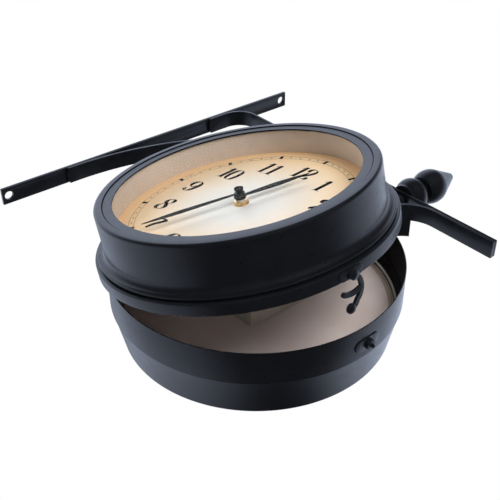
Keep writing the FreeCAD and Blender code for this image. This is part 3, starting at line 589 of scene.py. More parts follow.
@dataclass
class Turning:
    """A closed section turned round an axis: a start, then lines (two values) and arcs (four values)."""

    start: Point
    steps: Sequence[Step]
    ease: float = 0.25
    around: int = 192
    sharp: float = 18.0
    corner_steps: int = 4
    room_share: float = 0.45

    def section(self) -> list[Point]:
        """Samples the section and eases its corners.

        Returns:
            The section's points in millimetres, without a repeated end.
        """
        points = [self.start]
        for step in self.steps:
            if len(step) == 2:
                points.append(step)
            else:
                points += arc_points(points[-1], step[:2], step[2:])
        if math.dist(points[0], points[-1]) < SAME_POINT:
            points.pop()
        return self._eased(points)

    def _eased(self, points: list[Point]) -> list[Point]:
        """Rounds the sharp corners of a section.

        Args:
            points: The section.

        Returns:
            The rounded section.
        """
        result: list[Point] = []
        for i, here in enumerate(points):
            before, after = Vector(points[i - 1]), Vector(points[(i + 1) % len(points)])
            corner = Vector(here)
            back, ahead = before - corner, after - corner
            turn = math.pi - back.angle(ahead)
            if turn < math.radians(self.sharp) or here[0] < ON_AXIS:
                result.append(here)
                continue
            limits = (self.room_share * back.length, self.room_share * ahead.length)
            room = min(self.ease * math.tan(turn / 2), *limits)
            first, last = corner + back.normalized() * room, corner + ahead.normalized() * room
            for step in range(self.corner_steps + 1):
                t = step / self.corner_steps
                bent = first * (1 - t) ** 2 + corner * (2 * t * (1 - t)) + last * t ** 2
                result.append((bent.x, bent.y))
        return result

    def mesh(self, place: Matrix) -> Mesh:
        """Turns the section round its axis.

        Args:
            place: Where the turned piece goes, in metres.

        Returns:
            A closed mesh in place.
        """
        work = bmesh.new()
        rings = []
        angles = [2 * math.pi * i / self.around for i in range(self.around)]
        for radius, height in self.section():
            if radius < ON_AXIS:
                rings.append([work.verts.new((0, 0, height * MM))] * self.around)
                continue
            spots = [(radius * MM * math.cos(a), radius * MM * math.sin(a), height * MM) for a in angles]
            rings.append([work.verts.new(spot) for spot in spots])
        for lower, upper in zip(rings, rings[1:] + rings[:1]):
            for i in range(self.around):
                j = (i + 1) % self.around
                corners = list(dict.fromkeys((lower[i], lower[j], upper[j], upper[i])))
                if len(corners) > 2:
                    work.faces.new(corners)
        return finished_mesh(work, "turned", place, TURNED_SMOOTH)


def flat_ring(inner: float, outer: float, low: float, high: float, ease: float) -> Turning:
    """Ring or disc of even thickness, from its radii, heights and eased edge in millimetres."""
    return Turning((inner, low), [(outer, low), (outer, high), (inner, high)], ease)


def finished_mesh(work: bmesh.types.BMesh, name: str, place: Matrix, smooth: float = 0.0) -> Mesh:
    """Turns a shape's faces outwards, puts it in place and makes it a mesh.

    Args:
        work: The shape, which is freed.
        name: Name of the mesh.
        place: Where it goes, in metres.
        smooth: Degrees up to which edges are shaded smooth, or 0 for flat faces.

    Returns:
        The mesh.
    """
    bmesh.ops.recalc_face_normals(work, faces=work.faces)
    work.transform(place)
    mesh = bpy.data.meshes.new(name)
    work.to_mesh(mesh)
    work.free()
    if smooth:
        shade_by_angle(mesh, smooth)
    return mesh


class NumeralSet:
    """Dial numerals drawn with thick uprights, hairlines and round ends, in a box one unit tall."""

    STROKES: dict[str, list[list[Point]]] = {
        "0": [
            [(.30, .99), (.13, .88), (.06, .5), (.13, .12), (.30, .01), (.47, .12), (.54, .5), (.47, .88),
             (.30, .99)],
        ],
        "1": [[(.31, .0), (.31, .5), (.31, 1.0)], [(.31, .97), (.22, .88), (.10, .84)]],
        "2": [
            [(.11, .72), (.13, .88), (.29, .985), (.46, .91), (.51, .72), (.42, .50), (.24, .26), (.07, .06)],
            [(.07, .05), (.18, .085), (.34, .03), (.47, .05), (.54, .22)],
        ],
        "3": [
            [(.11, .79), (.15, .92), (.29, .985), (.43, .91), (.46, .74), (.38, .58), (.22, .53)],
            [(.22, .53), (.41, .49), (.52, .29), (.45, .09), (.28, .012), (.13, .07), (.09, .2)],
        ],
        "4": [
            [(.42, .0), (.42, .5), (.42, 1.0)],
            [(.41, .98), (.22, .63), (.03, .28)],
            [(.03, .27), (.3, .27), (.57, .27)],
        ],
        "5": [
            [(.14, .95), (.13, .72), (.12, .50)],
            [(.12, .50), (.29, .61), (.46, .54), (.53, .31), (.45, .09), (.28, .012), (.13, .07), (.09, .19)],
        ],
        "6": [
            [(.49, .83), (.43, .95), (.31, .985), (.15, .85), (.07, .5), (.10, .18), (.22, .03), (.31, .012),
             (.46, .1), (.53, .30), (.47, .49), (.33, .57), (.19, .51), (.10, .36)],
        ],
        "7": [[(.06, .80), (.065, .88), (.08, .96)], [(.54, .95), (.42, .68), (.29, .40), (.25, .20), (.25, .02)]],
        "8": [
            [(.30, .985), (.16, .92), (.12, .76), (.19, .61), (.30, .54), (.43, .43), (.52, .26), (.46, .07),
             (.30, .012), (.14, .07), (.08, .25), (.17, .43), (.30, .54), (.41, .62), (.48, .76), (.44, .92),
             (.30, .985)],
        ],
    }
    BARS: dict[str, list[tuple[Point, Point, float]]] = {
        "1": [((.10, .012), (.52, .012), .024)],
        "4": [((.26, .012), (.58, .012), .024)],
        "5": [((.13, .93), (.49, .945), .11)],
        "7": [((.07, .94), (.54, .94), .11)],
    }
    BALLS: dict[str, list[tuple[Point, float]]] = {
        "2": [((.145, .735), .085)],
        "3": [((.15, .795), .08), ((.135, .205), .085)],
        "5": [((.135, .195), .085)],
        "6": [((.455, .835), .075)],
    }
    LEAN: dict[str, float] = {"2": -0.3, "7": -0.45, "8": 0.6}
    ADVANCE = 0.60
    ONE_ADVANCE = 0.84
    WIDTH = 1.07
    STEM, HAIRLINE, CONTRAST = 0.20, 0.03, 2.2
    LINE_STEPS = 7
    BALL_SIDES = 18

    def __init__(self, height: float) -> None:
        """Sets the height of a numeral in millimetres."""
        self.height = height

    def outlines(self, text: str) -> list[list[Point]]:
        """Outlines that make a number, centred on zero.

        Args:
            text: The number's digits.

        Returns:
            Closed outlines in millimetres.
        """
        advance = self.ADVANCE * (self.ONE_ADVANCE if "1" in text else 1.0)
        width = self.ADVANCE + advance * (len(text) - 1)
        shapes = []
        for i, digit in enumerate(text):
            for shape in self._digit(digit):
                shapes.append([
                    ((x + i * advance - width / 2) * self.WIDTH * self.height, (y - 0.5) * self.height)
                    for x, y in shape
                ])
        return shapes

    def _digit(self, digit: str) -> list[list[Point]]:
        """Outlines of one digit in its unit box.

        Args:
            digit: The digit.

        Returns:
            Closed outlines.
        """
        if digit == "9":
            return [[(self.ADVANCE - x, 1 - y) for x, y in shape] for shape in self._digit("6")]
        lean = self.LEAN.get(digit, 0.0)
        shapes = [self._stroke(self._smooth(line), lean) for line in self.STROKES[digit]]
        for (ax, ay), (bx, by), width in self.BARS.get(digit, []):
            half = width / 2
            shapes.append([(ax, ay - half), (bx, by - half), (bx, by + half), (ax, ay + half)])
        for (x, y), radius in self.BALLS.get(digit, []):
            turn = 360 / self.BALL_SIDES
            shapes.append([circle_point((x, y), radius, turn * i) for i in range(self.BALL_SIDES)])
        return shapes

    def _smooth(self, points: Sequence[Point]) -> list[Point]:
        """Runs a smooth line through points.

        Args:
            points: The points.

        Returns:
            The finer line.
        """
        loop = math.dist(points[0], points[-1]) < SAME_POINT
        lead = points[-2] if loop else tuple(2 * a - b for a, b in zip(points[0], points[1]))
        tail = points[1] if loop else tuple(2 * a - b for a, b in zip(points[-1], points[-2]))
        full = [lead, *points, tail]
        line = []
        for p, q, r, s in zip(full, full[1:], full[2:], full[3:]):
            for step in range(self.LINE_STEPS):
                t = step / self.LINE_STEPS
                line.append(tuple(
                    0.5 * (
                        2 * b + (c - a) * t + (2 * a - 5 * b + 4 * c - d) * t * t
                        + (3 * b - a - 3 * c + d) * t ** 3
                    )
                    for a, b, c, d in zip(p, q, r, s)
                ))
        return [*line, points[-1]]

    def _stroke(self, line: list[Point], lean: float) -> list[Point]:
        """Gives a line the width that its direction calls for.

        Args:
            line: The line.
            lean: Lean of the thickest direction to the left, as a slope.

        Returns:
            Its closed outline.
        """
        left, right = [], []
        for i, (x, y) in enumerate(line):
            ahead, back = line[min(i + 1, len(line) - 1)], line[max(i - 1, 0)]
            way = Vector((ahead[0] - back[0], ahead[1] - back[1])).normalized()
            along = abs(way.y - lean * way.x) / math.hypot(1, lean)
            half = (self.HAIRLINE + (self.STEM - self.HAIRLINE) * along ** self.CONTRAST) / 2
            left.append((x - way.y * half, y + way.x * half))
            right.append((x + way.y * half, y - way.x * half))
        return left + right[::-1]


def flat_solid(shapes: Sequence[Sequence[Point]], low: float, high: float, place: Matrix) -> Mesh:
    """Makes thin closed solids from outlines.

    Args:
        shapes: Closed outlines in millimetres.
        low: Height of their underside in millimetres.
        high: Height of their top.
        place: Where they go, in metres.

    Returns:
        The mesh in place.
    """
    work = bmesh.new()
    for shape in shapes:
        half = len(shape) // 2
        floor = [work.verts.new((x * MM, y * MM, low * MM)) for x, y in shape]
        top = [work.verts.new((x * MM, y * MM, high * MM)) for x, y in shape]
        for i in range(half - 1):
            j = len(shape) - 1 - i
            work.faces.new((top[i], top[i + 1], top[j - 1], top[j]))
            work.faces.new((floor[j], floor[j - 1], floor[i + 1], floor[i]))
        for i in range(len(shape)):
            j = (i + 1) % len(shape)
            work.faces.new((floor[i], floor[j], top[j], top[i]))
    return finished_mesh(work, "flat", place)


@dataclass
class RingOfMarks:
    """A ring of like marks, made by a Geometry Nodes tree. Of the dots, every so many are left out."""

    shape: MarkShape
    count: int
    radius: float
    size: Spot
    height: float
    skip: int = 0
    dot_sides: int = 14

    def _tree(self) -> Tree:
        """Builds the tree.

        Returns:
            The tree, with named inputs for its sizes.
        """
        inputs = {"Count": WHOLE, "Radius": NUMBER, "Size": VECTOR, "Height": NUMBER, "Skip": WHOLE, "Ink": MATERIAL}
        name = f"ring_of_{self.shape.value}s"
        bench, given, end = new_tree(name, "GeometryNodeTree", inputs, {"Geometry": GEOMETRY})
        ring = {"Vertices": given["Count"], "Radius": given["Radius"]}
        kept = bench.node("GeometryNodeMeshCircle", ring).outputs[0]
        if self.skip:
            index = bench.node("GeometryNodeInputIndex").outputs[0]
            rest = bench.maths("MODULO", index, given["Skip"])
            chosen = {"Geometry": kept, "Selection": bench.maths("LESS_THAN", rest, 0.5)}
            kept = bench.node("GeometryNodeDeleteGeometry", chosen).outputs[0]
        if self.shape is MarkShape.BAR:
            mark = bench.node("GeometryNodeMeshCube", {"Size": given["Size"]})
        else:
            parts = bench.node("ShaderNodeSeparateXYZ", {0: given["Size"]}).outputs
            sizes = {"Vertices": self.dot_sides, "Radius": parts["X"], "Depth": parts["Z"]}
            mark = bench.node("GeometryNodeMeshCylinder", sizes)
        place = bench.node("GeometryNodeInputPosition").outputs[0]
        turn = bench.node("FunctionNodeAlignRotationToVector", {"Vector": place}, axis="Y", pivot_axis="Z")
        points = {"Points": kept, "Instance": mark.outputs["Mesh"], "Rotation": turn.outputs[0]}
        marks = bench.node("GeometryNodeInstanceOnPoints", points)
        lift = bench.node("ShaderNodeCombineXYZ", {"Z": given["Height"]}).outputs[0]
        raised = bench.node("GeometryNodeTransform", {"Geometry": marks.outputs[0], "Translation": lift})
        real = bench.node("GeometryNodeRealizeInstances", {0: raised.outputs[0]})
        inked = {"Geometry": real.outputs[0], "Material": given["Ink"]}
        bench.feed(end["Geometry"], bench.node("GeometryNodeSetMaterial", inked).outputs[0])
        return bench.tree

    def mesh(self, place: Matrix, ink: Material) -> Mesh:
        """Runs the tree and keeps its result.

        Args:
            place: Where the ring goes, in metres.
            ink: Material of the marks.

        Returns:
            A plain mesh in place.
        """
        tree = self._tree()
        carrier = new_object("marks", bpy.data.meshes.new("marks"))
        modifier = carrier.modifiers.new("marks", "NODES")
        modifier.node_group = tree
        values = {
            "Count": self.count, "Radius": self.radius * MM, "Size": [v * MM for v in self.size],
            "Height": self.height * MM, "Skip": self.skip, "Ink": ink,
        }
        for item in tree.interface.items_tree:
            if item.in_out == "INPUT":
                modifier[item.identifier] = values[item.name]
        graph = bpy.context.evaluated_depsgraph_get()
        mesh = bpy.data.meshes.new_from_object(carrier.evaluated_get(graph))
        carrier.modifiers.remove(modifier)
        bpy.data.objects.remove(carrier)
        mesh.transform(place)
        return mesh


@dataclass
class DrumSizes:
    """Sizes that both half drums share, in millimetres."""

    sheet: float = 0.8
    wall: float = 111.0
    opening: float = 96.5
    step_radius: float = 103.6
    step: float = 0.8
    edge: float = 2.5
    cove: float = 5.4
    bead: float = 1.0
    bead_height: float = 3.5
    groove: float = 0.8
    shelf: float = 1.2
    skirt: float = 120.0
    skirt_length: float = 8.2
    rim_clearance: float = 1.1
    rim_height: float = 28.2
    rim_step: float = 0.7
    glass: float = 2.0
    glass_gap: float = 0.3
    reflector: float = 99.5
    reflector_wall: float = 1.5
    flange: float = 1.5
    dial: float = 107.5
    dial_thickness: float = 1.5
    dial_hole: float = 4.1
    lip_inner: float = 111.4
    lip_height: float = 3.1
    lip_edge: float = 0.5
    lip_groove: Point = (0.22, 0.62)
    groove_depth: float = 0.5
    fit: float = 0.1
    inner_edge: float = 2.0
    ring_ease: float = 0.2
    glass_ease: float = 0.3
    dial_ease: float = 0.15

    @property
    def rim(self) -> float:
        """Outer radius of the rear half's rim band."""
        return self.skirt - self.sheet - self.rim_clearance

    @property
    def taper_start(self) -> float:
        """Height at which the rear half's wall starts to taper."""
        return self.rim_height + self.rim_step

    def bezel(self, depth: float) -> list[Step]:
        """Outer side of the bezel, from the opening to the wall.

        Args:
            depth: Height of the bezel's face.

        Returns:
            Steps of the section.
        """
        centre = (self.wall - self.edge, depth - self.edge)
        return [
            (self.opening, depth - self.step),
            (self.step_radius, depth - self.step),
            (self.step_radius + self.step, depth),
            (centre[0], depth),
            (*circle_point(centre, self.edge, 45), self.wall, centre[1]),
        ]

    def bezel_return(self, depth: float) -> list[Step]:
        """Inner side of the bezel, from the wall back to the step.

        Args:
            depth: Height of the bezel's face.

        Returns:
            Steps of the section.
        """
        centre = (self.wall - self.edge, depth - self.edge)
        under = depth - self.sheet
        return [
            (self.wall - self.sheet, centre[1]),
            (*circle_point(centre, self.edge - self.sheet, 45), centre[0], under),
            (self.step_radius + self.step, under),
            (self.step_radius, under - self.step),
        ]

    def inside(self, height: float, depth: float) -> float:
        """Inner radius of the rear half's tapered wall.

        Args:
            height: Height above the parting plane.
            depth: Depth of the rear half.

        Returns:
            The radius.
        """
        low, high = self.rim - self.rim_step - self.sheet, self.wall - self.sheet
        share = (height - self.taper_start) / (depth - self.edge - self.taper_start)
        return low + (high - low) * share


@dataclass
class HalfDrum:
    """One half of the drum: shell, glass, reflector ring and printed dial, in millimetres from the parting plane."""

    half: Half
    body: str
    place: Matrix
    depth: float
    dial_height: float
    sizes: DrumSizes = field(default_factory=DrumSizes)
    inward_share: float = 0.2
    downward_share: float = -0.3
    outward_share: float = 0.9

    @property
    def name(self) -> str:
        """The half's name, which starts the names of its pieces."""
        return self.half.value

    @property
    def glass_top(self) -> float:
        """Height of the glass's outer face, below the bezel."""
        return self.depth - self.sizes.step - self.sizes.sheet

    @property
    def dial_centre(self) -> Vector:
        """Middle of the dial's face in the row frame."""
        return self.place @ Vector((0, 0, self.dial_height * MM))

    def shell_section(self) -> Turning:
        """Section of the shell.

        Returns:
            The turning.
        """
        s = self.sizes
        wall = self._door_wall() if self.half is Half.FRONT else self._rear_wall()
        steps = s.bezel(self.depth) + wall + s.bezel_return(self.depth)
        return Turning((s.opening, self.glass_top), steps)

    def _door_wall(self) -> list[Step]:
        """Wall of the door with its cove, bead and skirt, down its outside and up its inside.

        Returns:
            Steps of the section.
        """
        s = self.sizes
        middle = s.wall + s.cove
        cove, bead = (middle, s.bead_height + s.bead + s.cove), (middle, s.bead_height)
        groove, corner = middle - s.groove, (s.skirt - s.shelf, 0.0)
        under = s.shelf - s.sheet
        return [
            (s.wall, cove[1]),
            (*circle_point(cove, s.cove, 225), middle, s.bead_height + s.bead),
            (*circle_point(bead, s.bead, 0), middle, s.bead_height - s.bead),
            (groove, s.bead_height - s.bead),
            (groove, s.shelf),
            (corner[0], s.shelf),
            (*circle_point(corner, s.shelf, 45), s.skirt, 0.0),
            (s.skirt, -s.skirt_length),
            (s.skirt - s.sheet, -s.skirt_length),
            (s.skirt - s.sheet, under),
            (groove - s.sheet, under),
            (s.wall - s.sheet, s.bead_height + s.bead),
        ]

    def _rear_wall(self) -> list[Step]:
        """Tapered wall of the rear half with its rim band, down its outside and up its inside.

        Returns:
            Steps of the section.
        """
        s = self.sizes
        low = s.rim - s.sheet
        return [
            (s.rim - s.rim_step, s.taper_start),
            (s.rim, s.rim_height),
            (s.rim, 0.0),
            (low, 0.0),
            (low, s.rim_height),
            (low - s.rim_step, s.taper_start),
        ]

    def reflector_section(self) -> Turning:
        """Section of the ring between dial and glass.

        Returns:
            The turning.
        """
        s = self.sizes
        top = self.dial_height + s.flange
        glass_low = self.glass_top - s.glass
        outer = s.reflector + s.reflector_wall
        if self.half is Half.FRONT:
            flange = s.wall - s.sheet - s.fit
            lip = [(flange, self.dial_height)]
        else:
            flange = s.inside(top, self.depth) - s.fit
            start, way, end = self._lip()
            sunk = way.orthogonal() * -s.groove_depth
            first, last = (start + (end - start) * share for share in s.lip_groove)
            groove = [tuple(point) for point in (start, first, first + sunk, last + sunk, last, end)]
            lip = [(s.lip_inner, self.dial_height), *groove, (end.x + s.lip_edge, end.y)]
        steps = lip + [(flange, top), (outer, top), (outer, glass_low), (s.reflector, glass_low)]
        return Turning((s.reflector, self.dial_height), steps, s.ring_ease)

    def _lip(self) -> tuple[Vector, Vector, Vector]:
        """Sloping lip that holds the rear dial, seen in section.

        Returns:
            Its start, its direction and its end.
        """
        s = self.sizes
        start = Vector((s.lip_inner, self.dial_height - s.dial_thickness))
        height = start.y - s.lip_height
        end = Vector((s.inside(height, self.depth) - s.fit - s.lip_edge, height))
        return start, (end - start).normalized(), end

    def build(self, shop: Workshop) -> None:
        """Builds and dresses the half.

        Args:
            shop: Hands out the pieces.
        """
        s, half, palette = self.sizes, self.name, shop.palette
        mesh = self.shell_section().mesh(self.place)
        self._line(mesh)
        # The second paint darkens the shell's inner and under faces: painted shade inside the drum.
        paints = [palette.of[Slot.BLACK], palette.inner]
        shop.publish(f"{half}_shell_turned", mesh, self.body, Slot.BLACK, [f"{half}_shell"], paints)
        ring = self.reflector_section().mesh(self.place)
        self._mark_lip(ring)
        # The third paint darkens the lip's groove: painted shade.
        paints = [palette.of[Slot.CREAM], palette.lip, palette.groove]
        shop.publish(f"{half}_reflector_turned", ring, self.body, Slot.CREAM, [f"{half}_reflector_ring"], paints)
        low, top = self.glass_top - s.glass, self.glass_top
        glass = flat_ring(0.0, s.step_radius - s.glass_gap, low, top, s.glass_ease).mesh(self.place)
        shop.publish(f"{half}_glass_turned", glass, self.body, Slot.GLASS, [f"{half}_glass"])
        self._dial(shop)

    def _line(self, mesh: Mesh) -> None:
        """Marks the shell's inner and under faces for the darker, flatter inner paint, which paints shade inside the
        drum.

        Args:
            mesh: The shell's mesh, in place.
        """
        back = self.place.inverted()
        turn = back.to_3x3()
        for face in mesh.polygons:
            spot, normal = back @ face.center, turn @ face.normal
            inward = -normal.xy.dot(spot.xy.normalized()) > self.inward_share
            edge = spot.xy.length > (self.sizes.rim - self.sizes.inner_edge) * MM
            under = normal.z < self.downward_share and not edge
            # Index 1 is the darker inner paint, painted shade; index 0 is the plain black enamel.
            face.material_index = 1 if inward or under else 0

    def _mark_lip(self, mesh: Mesh) -> None:
        """Marks the bare lip, and its groove for the dark paint that paints shade in the groove, on the ring.

        Args:
            mesh: The ring's mesh, in place.
        """
        back = self.place.inverted()
        start, way, end = self._lip()
        for face in mesh.polygons:
            spot = back @ face.center / MM
            along = (Vector((spot.xy.length, spot.z)) - start).dot(way) / (end - start).length
            if spot.z < start.y and along > 0:
                low, high = self.sizes.lip_groove
                # Index 2 is the dark groove paint, painted shade; index 1 is the lip's own pale colour.
                face.material_index = 2 if low < along < high else 1

    def _dial(self, shop: Workshop) -> None:
        """Builds the dial and its print.

        Args:
            shop: Hands out the pieces.
        """
        s, half = self.sizes, self.name
        low, top = self.dial_height - s.dial_thickness, self.dial_height
        mesh = flat_ring(s.dial_hole, s.dial, low, top, s.dial_ease).mesh(self.place)
        out = (self.place.to_3x3() @ Vector((0, 0, 1))).normalized()
        for face in mesh.polygons:
            face.material_index = 0 if face.normal.dot(out) > self.outward_share else 1
        materials = [shop.palette.dials[half], shop.palette.card]
        shop.publish(f"{half}_dial_card", mesh, self.body, Slot.DIAL, [f"{half}_dial"], materials)
        DialPrint(half, self.body, self.place, top).build(shop)


@dataclass
class DialPrint:
    """Numerals and minute track of one dial, in millimetres."""

    half: str
    body: str
    place: Matrix
    face: float
    numeral_radius: float = 66.0
    numeral_height: float = 18.0
    numeral_drop: float = 2.0
    track_radii: Point = (84.9, 89.3)
    line_width: float = 0.24
    line_ease: float = 0.01
    ink_height: float = 0.05
    dot_radius: float = 0.7
    hour_mark: Spot = (3.0, 5.4, 0.06)
    turn: float = -1.1
    hours: int = 12
    minutes: int = 60

    def build(self, shop: Workshop) -> None:
        """Prints the dial.

        Args:
            shop: Hands out the pieces.
        """
        place = self.place @ Matrix.Rotation(math.radians(self.turn), 4, "Z")
        low, top = self.face, self.face + self.ink_height
        numerals = NumeralSet(self.numeral_height)
        shapes = []
        for hour in range(1, self.hours + 1):
            angle = math.radians(360 / self.hours * hour)
            x = self.numeral_radius * math.sin(angle)
            y = self.numeral_radius * math.cos(angle) - self.numeral_drop
            shapes += [[(px + x, py + y) for px, py in shape] for shape in numerals.outlines(str(hour))]
        prints = {"numerals": flat_solid(shapes, low, top, place)}
        for label, radius in zip(("inner", "outer"), self.track_radii):
            line = flat_ring(radius, radius + self.line_width, low, top, self.line_ease)
            prints[f"{label}_line"] = line.mesh(place)
        ring, height = (sum(self.track_radii) + self.line_width) / 2, self.face + self.ink_height / 2
        dot = (self.dot_radius, self.dot_radius, self.ink_height)
        marks = {
            "minute_dots": RingOfMarks(MarkShape.DOT, self.minutes, ring, dot, height, self.minutes // self.hours),
            "hour_marks": RingOfMarks(MarkShape.BAR, self.hours, ring, self.hour_mark, height),
        }
        ink = shop.palette.ink
        prints |= {label: mark.mesh(place, ink) for label, mark in marks.items()}
        for label, mesh in prints.items():
            shop.publish(f"{self.half}_{label}", mesh, self.body, Slot.HANDS, (), [ink])


@dataclass
class Finial:
    """Round base and acorn on top of the arm, in millimetres."""

    foot: Point = (13.0, 3.0)
    ball: float = 16.0
    base_height: float = 22.2
    neck: Point = (8.0, 2.5)
    rim: float = 12.5
    acorn: float = 16.4
    acorn_height: float = 42.7
    tip: float = 4.3
    tip_angle: float = 28.0
    bore: float = 3.0
    belly_share: float = 0.25
    shoulder_shares: Point = (0.84, 0.48)
    ease: float = 0.4
    around: int = 96

    def build(self, shop: Workshop) -> None:
        """Turns both pieces.

        Args:
            shop: Hands out the pieces.
        """
        neck, seat = self.neck[0], self.base_height
        waist, collar = (self.foot[1] + seat) / 2, seat + self.neck[1]
        belly = (self.acorn, collar + self.acorn_height * self.belly_share)
        shoulder = (self.acorn * self.shoulder_shares[0], collar + self.acorn_height * self.shoulder_shares[1])
        top = collar + self.acorn_height
        centre = (0.0, top - self.tip)
        tip_mid = circle_point(centre, self.tip, (self.tip_angle + 90) / 2)
        sections = {
            "base": [
                (self.bore, 0.0), (self.foot[0], 0.0), self.foot, (self.ball, waist, neck, seat), (self.bore, seat),
            ],
            "acorn": [
                (0.0, seat), (neck, seat), (neck, collar), (self.rim, collar), (*belly, *shoulder),
                circle_point(centre, self.tip, self.tip_angle), (*tip_mid, 0.0, top),
            ],
        }
        low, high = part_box("finial_base")
        place = Matrix.Translation(((low[0] + high[0]) / 2, (low[1] + high[1]) / 2, low[2]))
        for piece, (start, *steps) in sections.items():
            mesh = Turning(start, steps, self.ease, self.around).mesh(place)
            shop.publish(f"finial_{piece}_turned", mesh, ROOT_BODY, Slot.BLACK, [f"finial_{piece}"])


@dataclass(frozen=True)
class EasedGroup:
    """Pieces that keep their CAD shape, with the width of each one's eased edges in millimetres."""

    name: str
    widths: dict[str, float]

    def build(self, shop: Workshop, prefix: str = "") -> None:
        """Builds the pieces.

        Args:
            shop: Hands out the pieces.
            prefix: Start of the nodes' names.
        """
        for node, width in self.widths.items():
            shop.soften(prefix + node, width)
        LOG.info("%s%s done", prefix, self.name)


BRACKET = EasedGroup("bracket", {
    "wall_plate": 0.5, "support_arm": 0.5, "curved_brace": 0.5, "hanger_outer_strap": 0.4,
    "hanger_inner_strap": 0.4, "hanger_screws": 0.25, "hanger_nuts": 0.2, "finial_nut": 0.3,
})
HINGE = EasedGroup("hinge", {
    "hinge_rear_leaf": 0.2, "hinge_door_leaf": 0.2, "hinge_pin": 0.3, "hinge_rear_rivets": 0.1,
    "hinge_door_rivets": 0.1,
})
LATCH = EasedGroup("latch", {
    "latch_plate": 0.2, "latch_pivot": 0.15, "latch_hook": 0.45, "stud_plate": 0.2, "catch_stud": 0.3,
})
MOVEMENT = EasedGroup("movement", {
    "minute_hand": 0.12, "hour_hand": 0.12, "hand_nut": 0.15, "bush_nut": 0.2, "bush_washer": 0.15,
    "setting_knob": 0.3, "movement_cover": 0.3, "movement_case": 0.3,
})


@dataclass(frozen=True)
class Softbox:
    """A broad pale panel that only shows in glossy surfaces."""

    direction: Spot
    edge: Point
    strength: float


@dataclass(frozen=True)
class Lamp:
    """A large soft lamp: where it hangs seen from the clock, its diameter in metres and its power in watts."""

    name: str
    direction: Spot
    size: float
    power: float


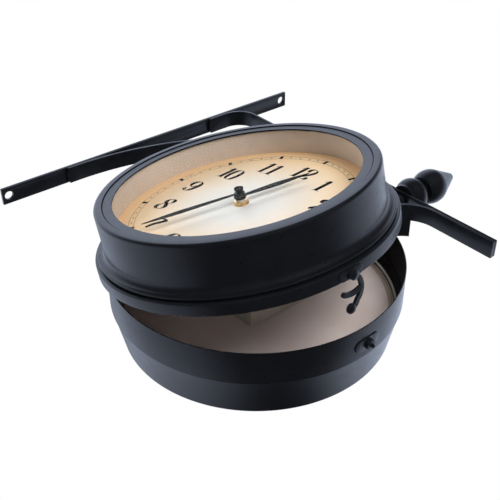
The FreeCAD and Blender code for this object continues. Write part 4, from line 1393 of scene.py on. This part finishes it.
@dataclass
class Studio:
    """Floor, light and camera."""

    eye: Spot = (0.66272, -0.39019, -0.40419)
    right: Spot = (0.626381, 0.008867, 0.779466)
    down: Spot = (0.435653, 0.825215, -0.359480)
    lens: float = 59.346
    sensor: float = 36.0
    lamps: tuple[Lamp, ...] = (
        Lamp("key", (0.482, -0.860, 0.119), 1.0, 18.5),
        Lamp("low", (0.808, -0.306, -0.503), 2.4, 7.5),
        Lamp("side", (-0.997, 0.022, -0.077), 2.6, 50.0),
        Lamp("back", (-0.350, 0.880, 0.320), 1.4, 18.0),
    )
    lamp_distance: float = 1.6
    fill: float = 0.10
    softboxes: tuple[Softbox, ...] = (
        Softbox((-0.510, 0.612, -0.604), (0.50, 0.95), 1.15),
        Softbox((0.047, 0.516, 0.855), (0.55, 0.92), 1.3),
        Softbox((-0.934, -0.185, 0.305), (0.62, 0.94), 1.5),
    )
    room_level: float = 0.06
    room_tint: Colour = (0.86, 0.97, 1.22)
    floor_height: float = -0.62
    floor_size: float = 60.0
    floor_fade: Point = (0.6, 5.0)
    floor_colour: Colour = (0.01, 0.01, 0.01)
    floor_glow: Colour = (0.90, 0.90, 0.90)

    def build(self, effects: SharedEffects) -> None:
        """Sets up the studio.

        Args:
            effects: The shared node groups.
        """
        self._world()
        for lamp in self.lamps:
            self._lamp(lamp)
        self._floor(effects)
        self._camera()
        bpy.context.scene.view_settings.view_transform = "Standard"

    def _world(self) -> None:
        """White backdrop to the camera, softboxes in a dim room in gloss, and an even fill."""
        world = bpy.data.worlds.new("studio")
        bpy.context.scene.world = world
        world.use_nodes = True
        bench = Bench(world.node_tree)
        way = bench.node("ShaderNodeTexCoord").outputs["Generated"]
        level: object = self.room_level
        for box in self.softboxes:
            inputs = {0: way, 1: box.direction}
            side = bench.node("ShaderNodeVectorMath", inputs, operation="DOT_PRODUCT").outputs["Value"]
            level = bench.maths("ADD", level, bench.spread(side, *box.edge, 0.0, box.strength))
        path = bench.node("ShaderNodeLightPath").outputs
        fill = bench.node("ShaderNodeBackground", {"Color": WHITE, "Strength": self.fill})
        mirrored = bench.node("ShaderNodeBackground", {"Color": self.room_tint, "Strength": level})
        white = bench.node("ShaderNodeBackground", {"Color": WHITE, "Strength": 1.0})
        inputs = {0: path["Is Glossy Ray"], 1: fill.outputs[0], 2: mirrored.outputs[0]}
        lit = bench.node("ShaderNodeMixShader", inputs)
        seen = bench.maths("MAXIMUM", path["Is Camera Ray"], path["Is Transmission Ray"])
        both = bench.node("ShaderNodeMixShader", {0: seen, 1: lit.outputs[0], 2: white.outputs[0]})
        bench.feed(bench.tree.nodes["World Output"].inputs["Surface"], both.outputs[0])

    def _lamp(self, lamp: Lamp) -> None:
        """Hangs a lamp that only brightens matt surfaces.

        Args:
            lamp: The lamp.
        """
        low, high = CAD_BOX
        middle = (Vector(low) + Vector(high)) / 2
        way = Vector(lamp.direction).normalized()
        light = bpy.data.lights.new(lamp.name, "AREA")
        light.shape, light.size, light.energy = "DISK", lamp.size, lamp.power
        hung = new_object(lamp.name, light)
        hung.location = middle + way * self.lamp_distance
        hung.rotation_euler = way.to_track_quat("Z", "Y").to_euler()
        hung.visible_camera = hung.visible_glossy = False

    def _floor(self, effects: SharedEffects) -> None:
        """Plain pale floor below the clock, which neither lights nor shades it and fades into the backdrop.

        Args:
            effects: The shared node groups.
        """
        half, height = self.floor_size / 2, self.floor_height
        mesh = bpy.data.meshes.new("floor")
        corners = [(x * half, y * half, height) for x, y in ((-1, -1), (1, -1), (1, 1), (-1, 1))]
        mesh.from_pydata(corners, [], [(0, 1, 2, 3)])
        floor = new_object("floor", mesh)
        floor.visible_diffuse = floor.visible_glossy = floor.visible_shadow = False
        material = bpy.data.materials.new("pale_floor")
        material.use_nodes = True
        bench = Bench(material.node_tree)
        shader = bench.tree.nodes["Principled BSDF"]
        share = effects.faded(bench, (0.0, 0.0, height), *self.floor_fade)
        bench.feed(shader.inputs["Base Color"], bench.mix(share, self.floor_colour, BLACK))
        bench.feed(shader.inputs["Emission Color"], bench.mix(share, self.floor_glow, WHITE))
        for label, value in (("Emission Strength", 1.0), ("Roughness", 1.0), ("Specular IOR Level", 0.0)):
            shader.inputs[label].default_value = value
        mesh.materials.append(material)

    def _camera(self) -> None:
        """Camera at the photograph's viewing angle."""
        data = bpy.data.cameras.new("camera")
        data.lens, data.sensor_width, data.sensor_fit = self.lens, self.sensor, "HORIZONTAL"
        right = Vector(self.right).normalized()
        up = -(Vector(self.down) - right * right.dot(Vector(self.down))).normalized()
        back = right.cross(up)
        turn = Matrix((right, up, back)).transposed().to_4x4()
        camera = new_object("camera", data)
        camera.matrix_world = Matrix.Translation(self.eye) @ turn
        bpy.context.scene.camera = camera


def half_places() -> dict[Half, Matrix]:
    """Works out where each half's own axes lie, from the frame.

    Returns:
        The matrix of each half.
    """
    low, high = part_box("rear_glass")
    joints = {joint["name"]: joint for joint in frame["joints"]}
    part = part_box("rear_shell")[0][1]
    middle = Matrix.Translation(((low[0] + high[0]) / 2, part, (low[2] + high[2]) / 2))
    closed = middle @ Matrix.Rotation(math.pi / 2, 4, "X")
    hinge = joints["door_hinge"]
    pin = Matrix.Translation(hinge["pos_m"])
    swing = Matrix.Rotation(math.radians(-hinge["range_deg"][0]), 4, Vector(hinge["axis"]))
    return {
        Half.FRONT: pin @ swing @ pin.inverted() @ closed,
        Half.REAR: closed @ Matrix.Rotation(math.pi, 4, "Y"),
    }


def main() -> None:
    """Builds every sub-assembly in order."""
    logging.basicConfig(level=logging.INFO, format="%(name)s: %(message)s")
    places = half_places()
    halves = [
        HalfDrum(Half.FRONT, DOOR_BODY, places[Half.FRONT], depth=41.4, dial_height=17.75),
        HalfDrum(Half.REAR, ROOT_BODY, places[Half.REAR], depth=62.9, dial_height=44.0),
    ]
    shop = Workshop(Palette({half.name: half.dial_centre for half in halves}))
    for assembly in (*halves, Finial(), BRACKET, HINGE, LATCH):
        assembly.build(shop)
    for half in halves:
        MOVEMENT.build(shop, f"{half.name}_")
    shown = [name for name, node in frame["nodes"].items() if not node.hide_render]
    for node in shown:
        shop.dress(node)
    Studio().build(shop.palette.effects)


if __name__ == "__main__":
    main()
